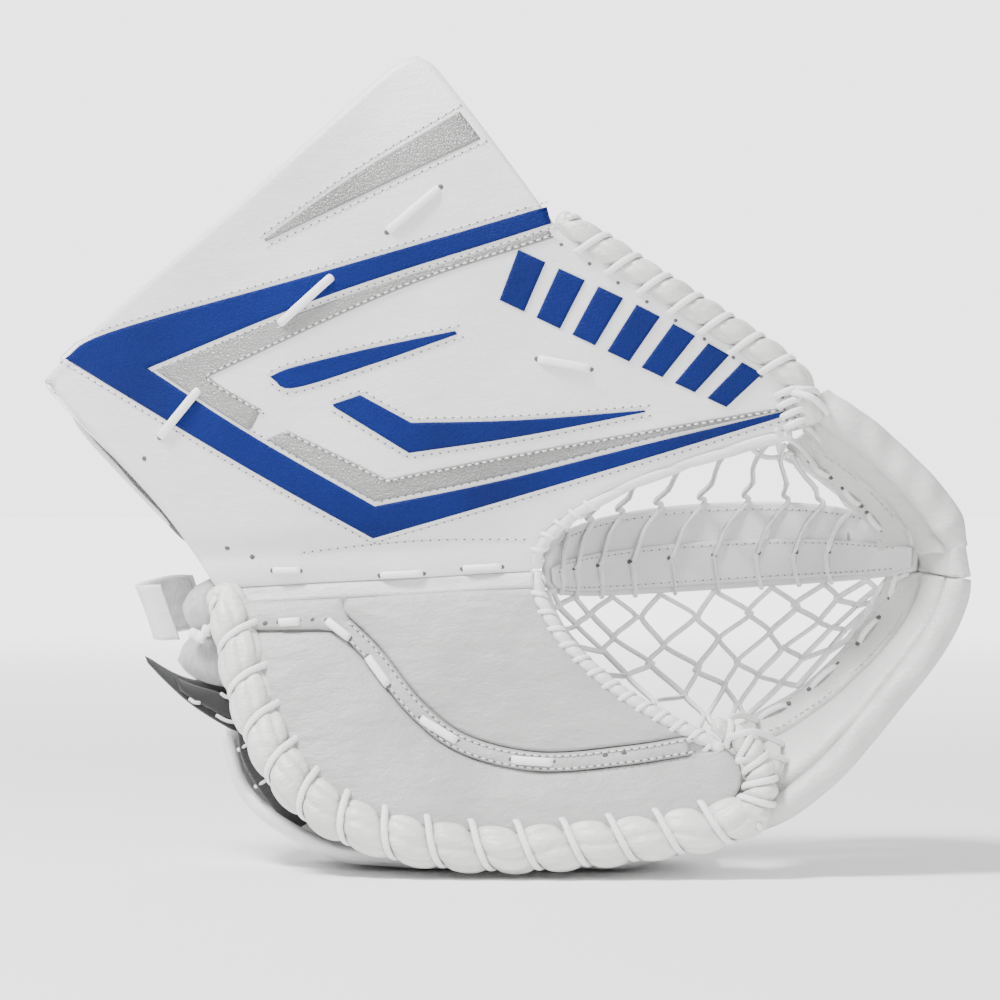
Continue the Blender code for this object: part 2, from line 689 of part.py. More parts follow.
def net_rows(side):
    """Curved sheet of one net, from the pocket's mouth and the T's flap to the stem."""
    count = 11
    if side > 0:
        mouth = smooth(list(reversed(thumb_pocket_edge()))[1:], count=12)
        edge = edge_path(mouth, thumb_y, -RIM_R - SEAM_GAP, 2.0 * RIM_R + NET_CLEAR)[:-1]
    else:
        mouth = smooth(palm_pocket_edge()[1:-1], count=12)
        edge = edge_path(mouth, palm_y, RIM_R + SEAM_GAP, 2.0 * RIM_R + NET_CLEAR)[:-1]
    flap = t_curves(side)[2]
    flap = [(x - NET_CLEAR, y + 1.0, z - side * NET_CLEAR) for x, y, z in flap]
    outer = resample(edge + flap, count)
    path = stem_path()
    stem = []
    for index, (x, y, z) in enumerate(path):
        reach = stem_half(index / (len(path) - 1)) + NET_CLEAR
        stem.append((x, y, z + side * reach))
    deep = resample(stem, count)
    rows = []
    for share in (0.0, 0.2, 0.4, 0.6, 0.8, 1.0):
        bulge = 12.0 * math.sin(math.pi * share)
        row = []
        for a, b in zip(outer, deep):
            x, y, z = between(a, b, share)
            row.append((x, y + bulge, z + side * 0.25 * bulge))
        rows.append(row)
    return rows


# ---- palm half -----------------------------------------------------------------------------------------------------------
def build_palm_board(carrier, looks):
    """Sewn face panels of the finger board and the layers behind them."""
    rim, mouth, seam = palm_rim_edge(), palm_pocket_edge(), seam_line()
    half = 5.0
    above, below = shifted(seam, half), shifted(seam, -half)
    corner = break_edge(-113, -74, -1)
    upper_left = break_edge(-71, 10, -1)
    loop = outline(upper_left, mouth[:-1] + drawn([(72, 61.5)]), list(reversed(above[:-1])),
                   [above[0], (upper_left[0][0], upper_left[0][1])])
    panel("palm_upper_panel", loop, palm_y, 0.0, SKIN, carrier, looks["palm"])
    strip_top = shifted(seam, half - SEAM_GAP)
    strip_low = shifted(seam, -half + SEAM_GAP)
    heel_top = (corner[0][0] + 1.0, corner[0][1])
    heel_low = drawn([(-109.0, 103.0)])[0]
    loop = outline([heel_top, corner[1]], [corner[1], strip_top[0]], strip_top[:-1],
                   [strip_top[-2], strip_low[-2]], list(reversed(strip_low[:-1])),
                   [strip_low[0], drawn([(-84, 104)])[0], heel_low], [heel_low, heel_top])
    panel("palm_seam_strip", loop, palm_y, 0.0, SKIN, carrier, looks["palm"])
    lower_start = drawn([(-109.5, 101.5)])[0]
    lower_rim = [lower_start] + rim[2:]
    loop = outline(lower_rim, [lower_rim[-1], below[-1]], list(reversed(below)),
                   [below[0], drawn([(-86, 102)])[0], lower_start])
    panel("palm_lower_panel", loop, palm_y, 0.0, SKIN, carrier, looks["palm"])
    whole = outline(break_edge(10, -113, -1), rim, list(reversed(mouth)))
    depth = SKIN + LAYER_GAP
    for name, thick, look in (("palm_foam_pad", PALM_FOAM, "foam"), ("palm_stiffener_board", BOARD, "board"),
                              ("palm_liner", LINER, "liner")):
        panel(name, whole, palm_y, depth, thick, carrier, looks[look])
        depth += thick + LAYER_GAP


def build_palm_edges(carrier, looks):
    """The thick roll round the finger rim with its wrapping lace, and the mouth binding."""
    away = PALM_ROLL_R + 2.0 * LACE_R + 2.0 * LACE_GAP + 0.6
    rim = smooth(palm_rim_edge(), 12.0)
    rim = [point for point in rim if point[1] < break_z(point[0]) - SPINE_HALF - PALM_ROLL_R]
    roll = edge_path(rim, palm_y, -away, 0.5)
    roll = [point for index, point in enumerate(roll) if index < len(roll) - 1]
    tube("palm_edge_roll", roll, PALM_ROLL_R, carrier, looks["palm"])
    lace = wrapped(roll, 1.03 * PALM_ROLL_R + LACE_GAP + LACE_R, LACE_PITCH)
    tube("palm_edge_lacing", lace, LACE_R, carrier, looks["lace"], 0)
    mouth = smooth(palm_pocket_edge(), 12.0)[:-1]
    binding = edge_path(mouth, palm_y, RIM_R + SEAM_GAP, RIM_R)
    binding = [p for p in binding if p[2] < break_z(p[0]) - SPINE_HALF - RIM_R - FOLD_GAP]
    tube("pocket_rim_palm", binding, RIM_R, carrier, looks["white"], 1)


def finger_shell_rows():
    """Sections of the finger-back shell: under the rim and up the back of the fingers."""
    floor = smooth(drawn([(-106, 42), (-95, 28), (-79, 14), (-60, 4), (-46, 0)]), count=6)
    floor += [(x * LENGTH_RATIO, 0.0) for x in (-15, 15, 46)]
    floor += drawn([(64, 4), (84, 11)])
    top = {-106: 108, -60: 112, 0: 110, 40: 94, 84: 76}
    keys = sorted(top)
    rim = smooth(palm_rim_edge(), 4.0)
    roll_back = 0.5 + PALM_ROLL_R + 2.0 * (LACE_R + LACE_GAP) + SEAM_GAP
    rows = []
    for x, low in floor:
        rim_x, rim_z = min(rim, key=lambda p: abs(p[0] - x))
        front = palm_y(rim_x, rim_z) + roll_back + 2.0
        key = x / LENGTH_RATIO
        right = next((k for k in keys if k >= key), keys[-1])
        left = max([k for k in keys if k <= key] or [keys[0]])
        share = 0.0 if left == right else (key - left) / (right - left)
        high = (top[left] + (top[right] - top[left]) * share) * HEIGHT_RATIO
        back = FINGER_SHELL_Y
        section = [(front, low + 4.0), (max(front + 9.0, -14.0), low), (10.0, low), (34.0, low), (back - 5.0, low + 9.0),
                   (back, low + 0.3 * (high - low)), (back, low + 0.65 * (high - low)), (back - 3.0, high)]
        rows.append([(x, y, z) for y, z in section])
    return rows


def build_finger_back(carrier, looks):
    """Moulded back shell, its foam, and the four finger stalls."""
    shell("finger_back_shell", finger_shell_rows(), SHELL, carrier, looks["white"])
    loop = outline(drawn([(-98, 62), (-98, 103)]), drawn([(-98, 103), (-50, 105), (0, 104)]),
                   drawn([(0, 104), (38, 89), (78, 72)]), drawn([(78, 72), (78, 34)]),
                   drawn([(78, 34), (40, 24), (-10, 22), (-60, 30), (-98, 62)]), step=20.0)
    depth = FINGER_SHELL_Y - SHELL - 4.0 - BACK_FOAM
    panel("finger_back_foam", loop, lambda x, z: depth, 0.0, BACK_FOAM, carrier, looks["foam"], 30.0)
    ends = {"index": ((-48, 105), (10, 99)), "middle": ((-44, 82), (40, 77)),
            "ring": ((-40, 59.5), (68, 52)), "little": ((-34, 37), (62, 29.5))}
    for finger, pair in ends.items():
        points = drawn(pair)
        depth = PALM_STACK + 1.5 + STALL_R
        start, end = [(x, palm_y(x, z) + depth, z) for x, z in points]
        stall("finger_stall_" + finger, start, end, STALL_R, STALL_WALL, carrier, looks["liner"])


def build_heel(carrier, looks):
    """Padded heel of the hand opening and the hand strap."""
    loop = outline(drawn([(-140, 97), (-141, 112), (-134, 118)]), drawn([(-134, 118), (-127, 116)]),
                   drawn([(-127, 116), (-127, 97)]), drawn([(-127, 97), (-134, 93), (-140, 97)]), step=8.0)
    panel("heel_pad", loop, lambda x, z: 8.0, 0.0, 14.0, carrier, looks["white"], 9.0)
    loop = outline(drawn([(-136, 72), (-136, 92)]), drawn([(-136, 92), (-121, 92)]), drawn([(-121, 92), (-119, 72)]),
                   drawn([(-119, 72), (-136, 72)]), step=12.0)
    panel("heel_satin_liner", loop, lambda x, z: 18.5, 0.0, 3.0, carrier, looks["satin"], 12.0)


def strap_rows(path, width, across):
    """A strap along an x,y,z path; across is the unit x,z direction of its width."""
    return [[(x + across[0] * width * side, y, z + across[1] * width * side) for x, y, z in path]
            for side in (-0.5, 0.5)]


def build_hand_strap(fixed, moving, looks):
    """The webbing strap across the heel of the hand: sewn base and the tab that is pulled."""
    base = [(-80, 14, 54), (-100, 14, 62), (STRAP_HINGE[0] + 2.0, 14, STRAP_HINGE[2] - 0.8)]
    tab = [(STRAP_HINGE[0], 14, STRAP_HINGE[2]), (-140, 13, 77), (-152, 14, 82), (-160, 16, 85)]
    for name, path, carrier in (("hand_strap_base", base, fixed), ("hand_strap_tab", tab, moving)):
        path = [(x * LENGTH_RATIO, y, z * HEIGHT_RATIO) for x, y, z in path]
        shell(name, strap_rows(path, STRAP_WIDTH, STRAP_ACROSS), STRAP, carrier, looks["web"])


def build_cuff_loop(carrier, looks):
    """The folded leather loop at the wrist opening."""
    path = [(-146, 26, 124), (-151, 24, 113), (-155, 23, 101), (-156.5, 26, 96), (-155, 30, 101), (-151, 32, 113),
            (-147, 33, 122)]
    path = [(x * LENGTH_RATIO, y, z * HEIGHT_RATIO) for x, y, z in path]
    shell("cuff_strap_loop", strap_rows(path, CUFF_LOOP_WIDTH, (0.93, -0.37)), STRAP, carrier, looks["white"])


def build_backhand(carrier, looks):
    """Pad over the back of the hand, above the finger shell."""
    loop = outline(drawn([(0, 117), (-92, 118)]), drawn([(-92, 118), (-104, 150), (-95, 194), (-62, 214)]),
                   drawn([(-62, 214), (-22, 212), (2, 176), (0, 117)]), step=20.0)
    panel("backhand_pad", loop, lambda x, z: FINGER_SHELL_Y - BACKHAND_PAD - 2.0, 0.0, BACKHAND_PAD, carrier,
          looks["white"], 30.0)


def build_palm_ties(carrier, looks):
    """Laces that cross the seam strip of the palm."""
    ties = {"palm_tie_heel": ((-79, 107), (-70, 101)), "palm_tie_side": ((-61, 93), (-54, 82)),
            "palm_tie_middle": ((-38, 68), (-22, 60)), "palm_tie_finger": ((0, 50), (17, 49))}
    lift = LACE_GAP + LACE_R
    for name, ends in ties.items():
        points = [(x, palm_y(x, z) - lift - 0.6, z) for x, z in resample(drawn(ends), 5)]
        tube(name, points, LACE_R, carrier, looks["lace"], 1)


# ---- spine ---------------------------------------------------------------------------------------------------------------
def build_break_strip(carrier, looks):
    """Soft strip between the two break lines, and the binding at the crotch."""
    half = SPINE_HALF - 1.0
    ends = drawn([(-112, 0), (5, 0)])
    left, right = ends[0][0], ends[1][0]
    loop = outline([(left, break_z(left) - half), (left, break_z(left) + half)],
                   [(left, break_z(left) + half), (right, break_z(right) + half)],
                   [(right, break_z(right) + half), (right, break_z(right) - half)],
                   [(right, break_z(right) - half), (left, break_z(left) - half)], step=20.0)
    panel("break_strip", loop, lambda x, z: break_y(x) + 2.0, 0.0, SKIN, carrier, looks["palm"], 40.0)
    x = 12.0 * LENGTH_RATIO
    depth = break_y(x) + 2.0 + RIM_R
    points = [(x, depth, break_z(x) + level * (SPINE_HALF - 1.0)) for level in (-1.0, 0.0, 1.0)]
    tube("crotch_binding", points, RIM_R, carrier, looks["white"], 1)


def build_apex(carrier, looks):
    """Leather gusset between the two arms at the T's apex."""
    half = SPINE_HALF - 1.0
    rows = []
    for level in (-half, half):
        row = []
        for x, y in ((189, -34), (187, -20), (181, -6), (172, 8)):
            x = x * LENGTH_RATIO
            row.append((x, y, break_z(x) + level))
        rows.append(row)
    shell("t_apex_gusset", rows, -T_FLAP, carrier, looks["palm"])


def axis_point(share, side):
    """A point on one of the two fold axes."""
    x = (BREAK_HEEL[0] + (BREAK_APEX[0] - BREAK_HEEL[0]) * share) * LENGTH_RATIO
    return (x, break_y(x), break_z(x) + side * SPINE_HALF)


def main():
    """Build the whole glove."""
    clear_scene()
    looks = make_materials()
    palm = body("palm_half", (0.0, 0.0, 0.0))
    spine = body("spine_on_lower_fold", axis_point(0.0, -1))
    thumb = body("thumb_half_on_upper_fold", axis_point(0.0, 1))
    build_thumb_board(thumb, looks)
    build_trim(thumb, looks)
    build_cuff_ties(thumb, looks)
    build_thumb_edges(thumb, looks)
    build_thumb_shell(thumb, looks)
    build_t_arm(1, ("t_upper_roll", "t_upper_arm", "t_upper_flap"), T_ROLL_UPPER_R, thumb, looks)
    net("net_upper", net_rows(1), 4, 9, thumb, looks["lace"], False)
    build_palm_board(palm, looks)
    build_palm_edges(palm, looks)
    build_finger_back(palm, looks)
    build_heel(palm, looks)
    build_backhand(palm, looks)
    build_palm_ties(palm, looks)
    tab = body("hand_strap_hinge", (STRAP_HINGE[0] * LENGTH_RATIO, STRAP_HINGE[1], STRAP_HINGE[2] * HEIGHT_RATIO))
    build_hand_strap(palm, tab, looks)
    build_cuff_loop(thumb, looks)
    build_t_arm(-1, ("t_lower_roll", "t_lower_arm", "t_lower_flap"), T_ROLL_LOWER_R, palm, looks)
    net("net_lower", net_rows(-1), 4, 8, palm, looks["lace"], True)
    build_break_strip(spine, looks)
    build_stem(spine, looks)
    build_apex(spine, looks)


main()
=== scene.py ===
"""The looks of the goalie catch glove: sewn leather, rolls, laces, net, straps and linings."""
import math

import bpy
import numpy as np
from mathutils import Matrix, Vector


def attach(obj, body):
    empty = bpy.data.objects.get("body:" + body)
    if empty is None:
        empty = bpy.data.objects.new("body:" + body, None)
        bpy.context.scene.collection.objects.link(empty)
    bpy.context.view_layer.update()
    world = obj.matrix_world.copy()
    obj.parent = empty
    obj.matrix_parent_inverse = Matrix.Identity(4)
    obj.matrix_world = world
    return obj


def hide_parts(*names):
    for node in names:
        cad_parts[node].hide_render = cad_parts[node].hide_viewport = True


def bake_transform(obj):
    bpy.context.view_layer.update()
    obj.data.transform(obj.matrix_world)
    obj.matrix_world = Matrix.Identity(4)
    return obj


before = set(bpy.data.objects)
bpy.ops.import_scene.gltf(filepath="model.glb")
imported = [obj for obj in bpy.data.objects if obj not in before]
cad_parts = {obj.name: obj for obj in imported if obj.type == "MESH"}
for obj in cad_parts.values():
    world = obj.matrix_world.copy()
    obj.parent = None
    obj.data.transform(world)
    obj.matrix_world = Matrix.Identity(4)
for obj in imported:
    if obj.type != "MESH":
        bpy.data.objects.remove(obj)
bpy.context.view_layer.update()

MM = 0.001
SHIFT = np.array([6.3, -10.0, 0.0])        # row frame, in millimetres from the glove's drawing frame
VIEW_DISTANCE = 1500.0
FRAME_WIDTH = 437.0                        # width of the picture at the drawing frame's y = 0
VIEW_CENTRE = (-4.8, 160.8)                # x and z that the camera looks at

BREAK_HEEL = np.array([-136.0, 4.0, 121.5])
BREAK_APEX = np.array([205.0, -46.0, 141.0])
THUMB_STACK = 17.5
PALM_STACK = 15.5
THUMB_ROLL_R = 6.0
LACE_HALF_WIDTH = 1.7
LACE_HALF_THICK = 1.0
SHELL_Y = 52.0
THUMB_SHELL_Y = 26.0
BACKHAND_OUTLINE = [(0, 118), (-46, 118), (-91, 119), (-101, 150), (-94, 193), (-62, 213), (-24, 211),
                    (0, 176)]


# ---- camera, light and floor ---------------------------------------------------------------------
def to_world(points):
    """Drawing-frame millimetres to row-frame metres."""
    return (np.asarray(points, float) + SHIFT) * MM


def make_camera():
    """A long lens at the height of the glove's middle, square to its open palm."""
    data = bpy.data.cameras.new("view")
    data.sensor_width = 36.0
    data.lens = 36.0 * VIEW_DISTANCE / FRAME_WIDTH
    camera = bpy.data.objects.new("view", data)
    camera.location = to_world([VIEW_CENTRE[0], -VIEW_DISTANCE, VIEW_CENTRE[1]])
    camera.rotation_euler = (math.radians(90.0), 0.0, 0.0)
    bpy.context.collection.objects.link(camera)
    bpy.context.scene.camera = camera


def area_light(name, place, size, power, colour=(1.0, 1.0, 1.0)):
    """A square soft light that faces the glove's middle."""
    data = bpy.data.lights.new(name, "AREA")
    data.size = size
    data.energy = power
    data.color = colour
    light = bpy.data.objects.new(name, data)
    light.location = place
    aim = Vector((0.0, 0.0, 0.15)) - light.location
    light.rotation_euler = aim.to_track_quat("-Z", "Y").to_euler()
    bpy.context.collection.objects.link(light)


def make_studio():
    """White surroundings, soft lights and a pale floor."""
    world = bpy.data.worlds.new("studio")
    world.use_nodes = True
    tree = world.node_tree
    background = tree.nodes["Background"]
    background.inputs["Color"].default_value = (1.0, 1.0, 1.0, 1.0)
    seen = tree.nodes.new("ShaderNodeMapRange")
    seen.inputs["To Min"].default_value = 0.90
    seen.inputs["To Max"].default_value = 3.2
    tree.links.new(tree.nodes.new("ShaderNodeLightPath").outputs["Is Camera Ray"], seen.inputs["Value"])
    tree.links.new(seen.outputs["Result"], background.inputs["Strength"])
    bpy.context.scene.world = world
    area_light("key", (-0.75, -0.55, 1.5), 0.42, 62.0)
    area_light("front", (0.5, -2.0, 0.9), 1.0, 11.0)
    area_light("fill", (1.3, -1.2, 0.5), 1.2, 2.0)
    area_light("rim", (0.3, 1.3, 1.0), 1.0, 9.0)
    bpy.ops.mesh.primitive_plane_add(size=60.0, location=(0.0, 0.0, 0.0))
    floor = bpy.context.object
    floor.name = "floor"
    return floor


# ---- shader maths --------------------------------------------------------------------------------
class Value:
    """A node's output that can be used in sums; a number stays a number."""

    def __init__(self, shade, socket):
        self.shade = shade
        self.socket = socket

    def _math(self, operation, first, second):
        return self.shade.add("ShaderNodeMath", {"operation": operation}, {0: first, 1: second})

    def __add__(self, other):
        return self._math("ADD", self, other)

    def __radd__(self, other):
        return self._math("ADD", other, self)

    def __sub__(self, other):
        return self._math("SUBTRACT", self, other)

    def __rsub__(self, other):
        return self._math("SUBTRACT", other, self)

    def __mul__(self, other):
        return self._math("MULTIPLY", self, other)

    def __rmul__(self, other):
        return self._math("MULTIPLY", other, self)

    def __pow__(self, other):
        return self._math("POWER", self, other)


class Shade:
    """A material and its node tree. add() makes any node and gives one of its outputs."""

    def __init__(self, name, roughness, metallic=0.0, coat=0.0, sheen=0.0):
        self.material = bpy.data.materials.new(name)
        self.material.use_nodes = True
        self.tree = self.material.node_tree
        self.shader = self.tree.nodes["Principled BSDF"]
        self.shader.inputs["Roughness"].default_value = roughness
        self.shader.inputs["Metallic"].default_value = metallic
        self.shader.inputs["Coat Weight"].default_value = coat
        self.shader.inputs["Coat Roughness"].default_value = 0.35
        self.shader.inputs["Sheen Weight"].default_value = sheen

    def add(self, kind, settings=None, inputs=None, out=0):
        node = self.tree.nodes.new(kind)
        for key, value in (settings or {}).items():
            if key == "stops":
                ramp = node.color_ramp
                while len(ramp.elements) < len(value):
                    ramp.elements.new(0.5)
                for element, (position, colour) in zip(ramp.elements, value):
                    element.position = position
                    element.color = colour
            else:
                setattr(node, key, value)
        for key, value in (inputs or {}).items():
            if isinstance(value, Value):
                self.tree.links.new(value.socket, node.inputs[key])
            else:
                node.inputs[key].default_value = value
        return Value(self, node.outputs[out])

    def place(self, scale=(1.0, 1.0, 1.0), turn=(0.0, 0.0, 0.0)):
        """Object coordinates, scaled and turned by a Mapping node."""
        where = self.add("ShaderNodeTexCoord", out="Object")
        return self.add("ShaderNodeMapping", None, {"Vector": where, "Scale": scale, "Rotation": turn})

    def uv(self, scale):
        """The piece's own UV map in metres, scaled."""
        where = self.add("ShaderNodeUVMap", {"uv_map": "UVMap"})
        return self.add("ShaderNodeMapping", None, {"Vector": where, "Scale": scale})

    def noise(self, where, scale, detail=3.0, rough=0.5):
        return self.add("ShaderNodeTexNoise", None,
                        {"Vector": where, "Scale": scale, "Detail": detail, "Roughness": rough})

    def cells(self, where, scale, feature="F1"):
        return self.add("ShaderNodeTexVoronoi", {"feature": feature}, {"Vector": where, "Scale": scale})

    def ramp(self, factor, low, high, first=(0, 0, 0, 1), last=(1, 1, 1, 1)):
        return self.add("ShaderNodeValToRGB", {"stops": [(low, first), (high, last)]}, {"Fac": factor})

    def mix(self, factor, first, second):
        return self.add("ShaderNodeMix", {"data_type": "RGBA"}, {"Factor": factor, 6: first, 7: second},
                        out=2)

    def set(self, name, value):
        if isinstance(value, Value):
            self.tree.links.new(value.socket, self.shader.inputs[name])
        else:
            self.shader.inputs[name].default_value = value

    def bump(self, height, depth, strength=1.0):
        self.set("Normal", self.add("ShaderNodeBump", None,
                                    {"Height": height, "Distance": depth, "Strength": strength},
                                    out="Normal"))


def leather(name, colour, roughness, grain, wrinkle, shade=0.93, metallic=0.0, coat=0.08,
            tint=(0.97, 0.985, 1.0), gloss=0.5):
    """Coated leather: pebble grain, fine creases and soft patches of wear."""
    made = Shade(name, roughness, metallic, coat)
    where = made.place()
    pebble = made.cells(where, 1100.0)
    fine = made.noise(where, 2600.0, 2.0)
    crease = made.noise(made.place((1.0, 1.0, 2.2), (0.0, 0.5, 0.0)), 70.0, 5.0, 0.62)
    patch = made.noise(where, 16.0, 3.0)
    worn = tuple(value * shade * factor for value, factor in zip(colour, tint)) + (1.0,)
    made.set("Base Color", made.mix(made.ramp(patch, 0.35, 0.68), worn, (*colour, 1.0)))
    made.set("Roughness", roughness - 0.06 + 0.16 * patch)
    made.set("Specular IOR Level", gloss)
    pull = made.noise(where, 24.0, 2.0)
    made.bump(grain * (1.0 - pebble) + 0.25 * grain * fine + wrinkle * (crease + 2.2 * pull), 0.0007)
    return made.material


def lace_material():
    """Waxed white lace: a fine braid along its length and darker grooves."""
    made = Shade("waxed_lace", 0.42, coat=0.12)
    along = made.uv((900.0, 900.0, 1.0))
    braid = made.add("ShaderNodeTexWave", {"wave_type": "BANDS", "bands_direction": "DIAGONAL"},
                     {"Vector": along, "Scale": 0.5, "Distortion": 1.5, "Detail": 1.0})
    patch = made.noise(made.place(), 60.0)
    made.set("Base Color", made.mix(patch, (0.80, 0.81, 0.80, 1.0), (0.95, 0.95, 0.94, 1.0)))
    made.bump(braid, 0.00018)
    return made.material


def webbing_material():
    """Black woven webbing: crossed ribs that follow the strap."""
    made = Shade("black_webbing", 0.78, sheen=0.3)
    along = made.uv((700.0, 700.0, 1.0))
    ribs = made.add("ShaderNodeTexWave", {"bands_direction": "X"}, {"Vector": along, "Scale": 0.9})
    rows = made.add("ShaderNodeTexWave", {"bands_direction": "Y"}, {"Vector": along, "Scale": 0.45})
    made.set("Base Color", made.mix(ribs, (0.006, 0.006, 0.007, 1.0), (0.028, 0.028, 0.03, 1.0)))
    made.bump(0.6 * ribs + 0.4 * rows, 0.0004)
    return made.material


def satin_material():
    """Grey satin: broad folds, a fine weave and a soft gloss; its colour follows the folds, darker in their
    valleys as painted shade and lighter on their crests as painted sheen.
    """
    made = Shade("satin", 0.33, sheen=0.4)
    where = made.place((1.0, 1.0, 0.5))
    folds_and_painted_shade = made.noise(where, 130.0, 4.0)
    weave = made.noise(made.place(), 3500.0, 1.0)
    # Colour follows the fold relief: painted shade in the valleys, painted sheen on the crests.
    made.set("Base Color", made.mix(folds_and_painted_shade, (0.30, 0.30, 0.31, 1.0), (0.62, 0.62, 0.63, 1.0)))
    made.bump(folds_and_painted_shade + 0.08 * weave, 0.0045)
    return made.material


def terry_material():
    """Charcoal terry lining: small soft loops."""
    made = Shade("terry", 0.95, sheen=0.5)
    where = made.place()
    loops = made.cells(where, 1300.0)
    patch = made.noise(where, 120.0)
    made.set("Base Color", made.mix(loops, (0.055, 0.056, 0.06, 1.0), (0.11, 0.11, 0.12, 1.0)))
    made.bump(loops + 0.5 * patch, 0.0009)
    return made.material


def foam_material():
    """Grey closed-cell foam."""
    made = Shade("foam_core", 0.9)
    pores = made.cells(made.place(), 1800.0)
    made.set("Base Color", made.mix(pores, (0.03, 0.03, 0.032, 1.0), (0.06, 0.06, 0.062, 1.0)))
    made.bump(pores, 0.0003)
    return made.material


def board_material():
    """Moulded sheet plastic with a faint flow pattern."""
    made = Shade("stiffener_sheet", 0.45)
    flow = made.noise(made.place((1.0, 1.0, 4.0)), 40.0)
    made.set("Base Color", made.mix(flow, (0.62, 0.61, 0.55, 1.0), (0.70, 0.69, 0.64, 1.0)))
    made.bump(flow, 0.0002)
    return made.material


def thread_material(name, colour):
    """Sewing thread: a tight twist."""
    made = Shade(name, 0.5)
    twist = made.noise(made.place((1.0, 1.0, 1.0), (0.0, 0.6, 0.0)), 2400.0, 1.0)
    dark = tuple(value * 0.8 for value in colour) + (1.0,)
    made.set("Base Color", made.mix(twist, dark, (*colour, 1.0)))
    made.bump(twist, 0.0001)
    return made.material


def floor_material():
    """Matt white studio floor with a very faint mottling, that fades into the white far away."""
    made = Shade("studio_floor", 0.9)
    where = made.add("ShaderNodeTexCoord", out="Object")
    distance = made.add("ShaderNodeVectorMath", {"operation": "LENGTH"}, {0: where}, out="Value")
    far = made.add("ShaderNodeMapRange", {"interpolation_type": "SMOOTHSTEP"},
                   {"Value": distance, "From Min": 0.3, "From Max": 3.0, "To Max": 2.6})
    made.set("Emission Color", (1.0, 1.0, 1.0, 1.0))
    made.set("Emission Strength", far * made.add("ShaderNodeLightPath", out="Is Camera Ray"))
    made.set("Base Color", made.mix(made.noise(made.place(), 3.0), (0.90, 0.90, 0.90, 1.0),
                                    (0.93, 0.93, 0.93, 1.0)))
    return made.material


def make_looks():
    """Every material of the glove by a short name."""
    return {
        "white": leather("white_leather", (0.79, 0.79, 0.785), 0.40, 0.20, 1.1, tint=(0.99, 0.99, 1.0)),
        # arm: a darker copy of the white leather for the T's arms; the darker tone is painted shade.
        "arm": leather("arm_painted_shade_leather", (0.66, 0.655, 0.645), 0.40, 0.20, 2.0, shade=0.86,
                       tint=(1.0, 1.0, 1.0)),
        # palm: grey palm leather; its darker grey is partly the leather's own tone and partly painted shade.
        "palm": leather("palm_leather", (0.44, 0.44, 0.435), 0.42, 0.16, 2.2, shade=0.84,
                        tint=(1.0, 1.0, 1.0)),
        "soft": leather("soft_break_leather", (0.68, 0.68, 0.68), 0.44, 0.18, 2.4, shade=0.88),
        # roll: a slightly darker copy of the white leather for the rolls; the darker tone is painted shade,
        # the coat is the leather's own gloss.
        "roll": leather("roll_leather_painted_shade", (0.74, 0.74, 0.72), 0.28, 0.08, 3.2, shade=0.84, coat=0.3,
                        tint=(1.0, 1.0, 0.98)),
        "blue": leather("blue_leather", (0.0010, 0.012, 0.13), 0.55, 0.55, 0.5, coat=0.0, shade=0.72,
                        tint=(0.8, 0.8, 0.95), gloss=0.16),
        "silver": leather("silver_leather", (0.33, 0.325, 0.32), 0.36, 1.0, 0.6, shade=0.72, metallic=0.35,
                          tint=(1.0, 1.0, 1.0)),
        "lace": lace_material(),
        "web": webbing_material(),
        "satin": satin_material(),
        "terry": terry_material(),
        "foam": foam_material(),
        "board": board_material(),
        "thread": thread_material("white_thread", (0.80, 0.80, 0.79)),
        # hole: near-black seeds for needle and lace holes; the dark is painted shade inside the holes.
        "hole": thread_material("stitch_hole", (0.10, 0.10, 0.10)),
        "floor": floor_material(),
    }


# ---- curves --------------------------------------------------------------------------------------
def lengths(points):
    """Distance along a polyline at each of its points."""
    steps = np.linalg.norm(np.diff(points, axis=0), axis=1)
    return np.concatenate([[0.0], np.cumsum(steps)])


def resample(points, count):
    """Evenly spaced points on a polyline."""
    points = np.asarray(points, float)
    reach = lengths(points)
    wanted = np.linspace(0.0, reach[-1], count) if np.isscalar(count) else np.asarray(count) * reach[-1]
    return np.stack([np.interp(wanted, reach, points[:, k]) for k in range(points.shape[1])], axis=1)


def unit(vectors):
    """Each row at length 1."""
    return vectors / np.linalg.norm(vectors, axis=1, keepdims=True)


def heading(points):
    """Unit directions along a curve, point by point."""
    return unit(np.gradient(points, axis=0))


def smooth(points, count):
    """Catmull-Rom curve through the points: each span is a cubic whose slopes follow its neighbours."""
    points = np.asarray(points, float)
    padded = np.vstack([2 * points[0] - points[1], points, 2 * points[-1] - points[-2]])
    share = np.linspace(0.0, 1.0, 12, endpoint=False)[None, :, None]
    a, b, c, d = (padded[k:len(points) - 1 + k][:, None, :] for k in range(4))
    fine = 0.5 * (2 * b + (c - a) * share + (2 * a - 5 * b + 4 * c - d) * share ** 2
                  + (3 * b - a - 3 * c + d) * share ** 3)
    fine = np.vstack([fine.reshape(-1, points.shape[1]), points[-1]])
    return resample(fine, count)


def chain(*stretches, count):
    """Smooth stretches that meet at corners, resampled so that a corner stays a point."""
    sizes = np.array([lengths(smooth(s, 40))[-1] for s in stretches])
    shares = np.maximum(2, np.round(sizes / sizes.sum() * (count + len(stretches) - 1)).astype(int))
    while shares.sum() - len(stretches) + 1 != count:
        shares[np.argmax(shares)] += 1 if shares.sum() - len(stretches) + 1 < count else -1
    parts = [smooth(s, n) for s, n in zip(stretches, shares)]
    return np.vstack([parts[0]] + [part[1:] for part in parts[1:]])


def sideways(points):
    """Unit x,z normals to the left of an open x,z curve."""
    run = np.gradient(points, axis=0)
    run /= np.maximum(np.linalg.norm(run, axis=1, keepdims=True), 1e-9)
    return np.stack([-run[:, 1], run[:, 0]], axis=1)


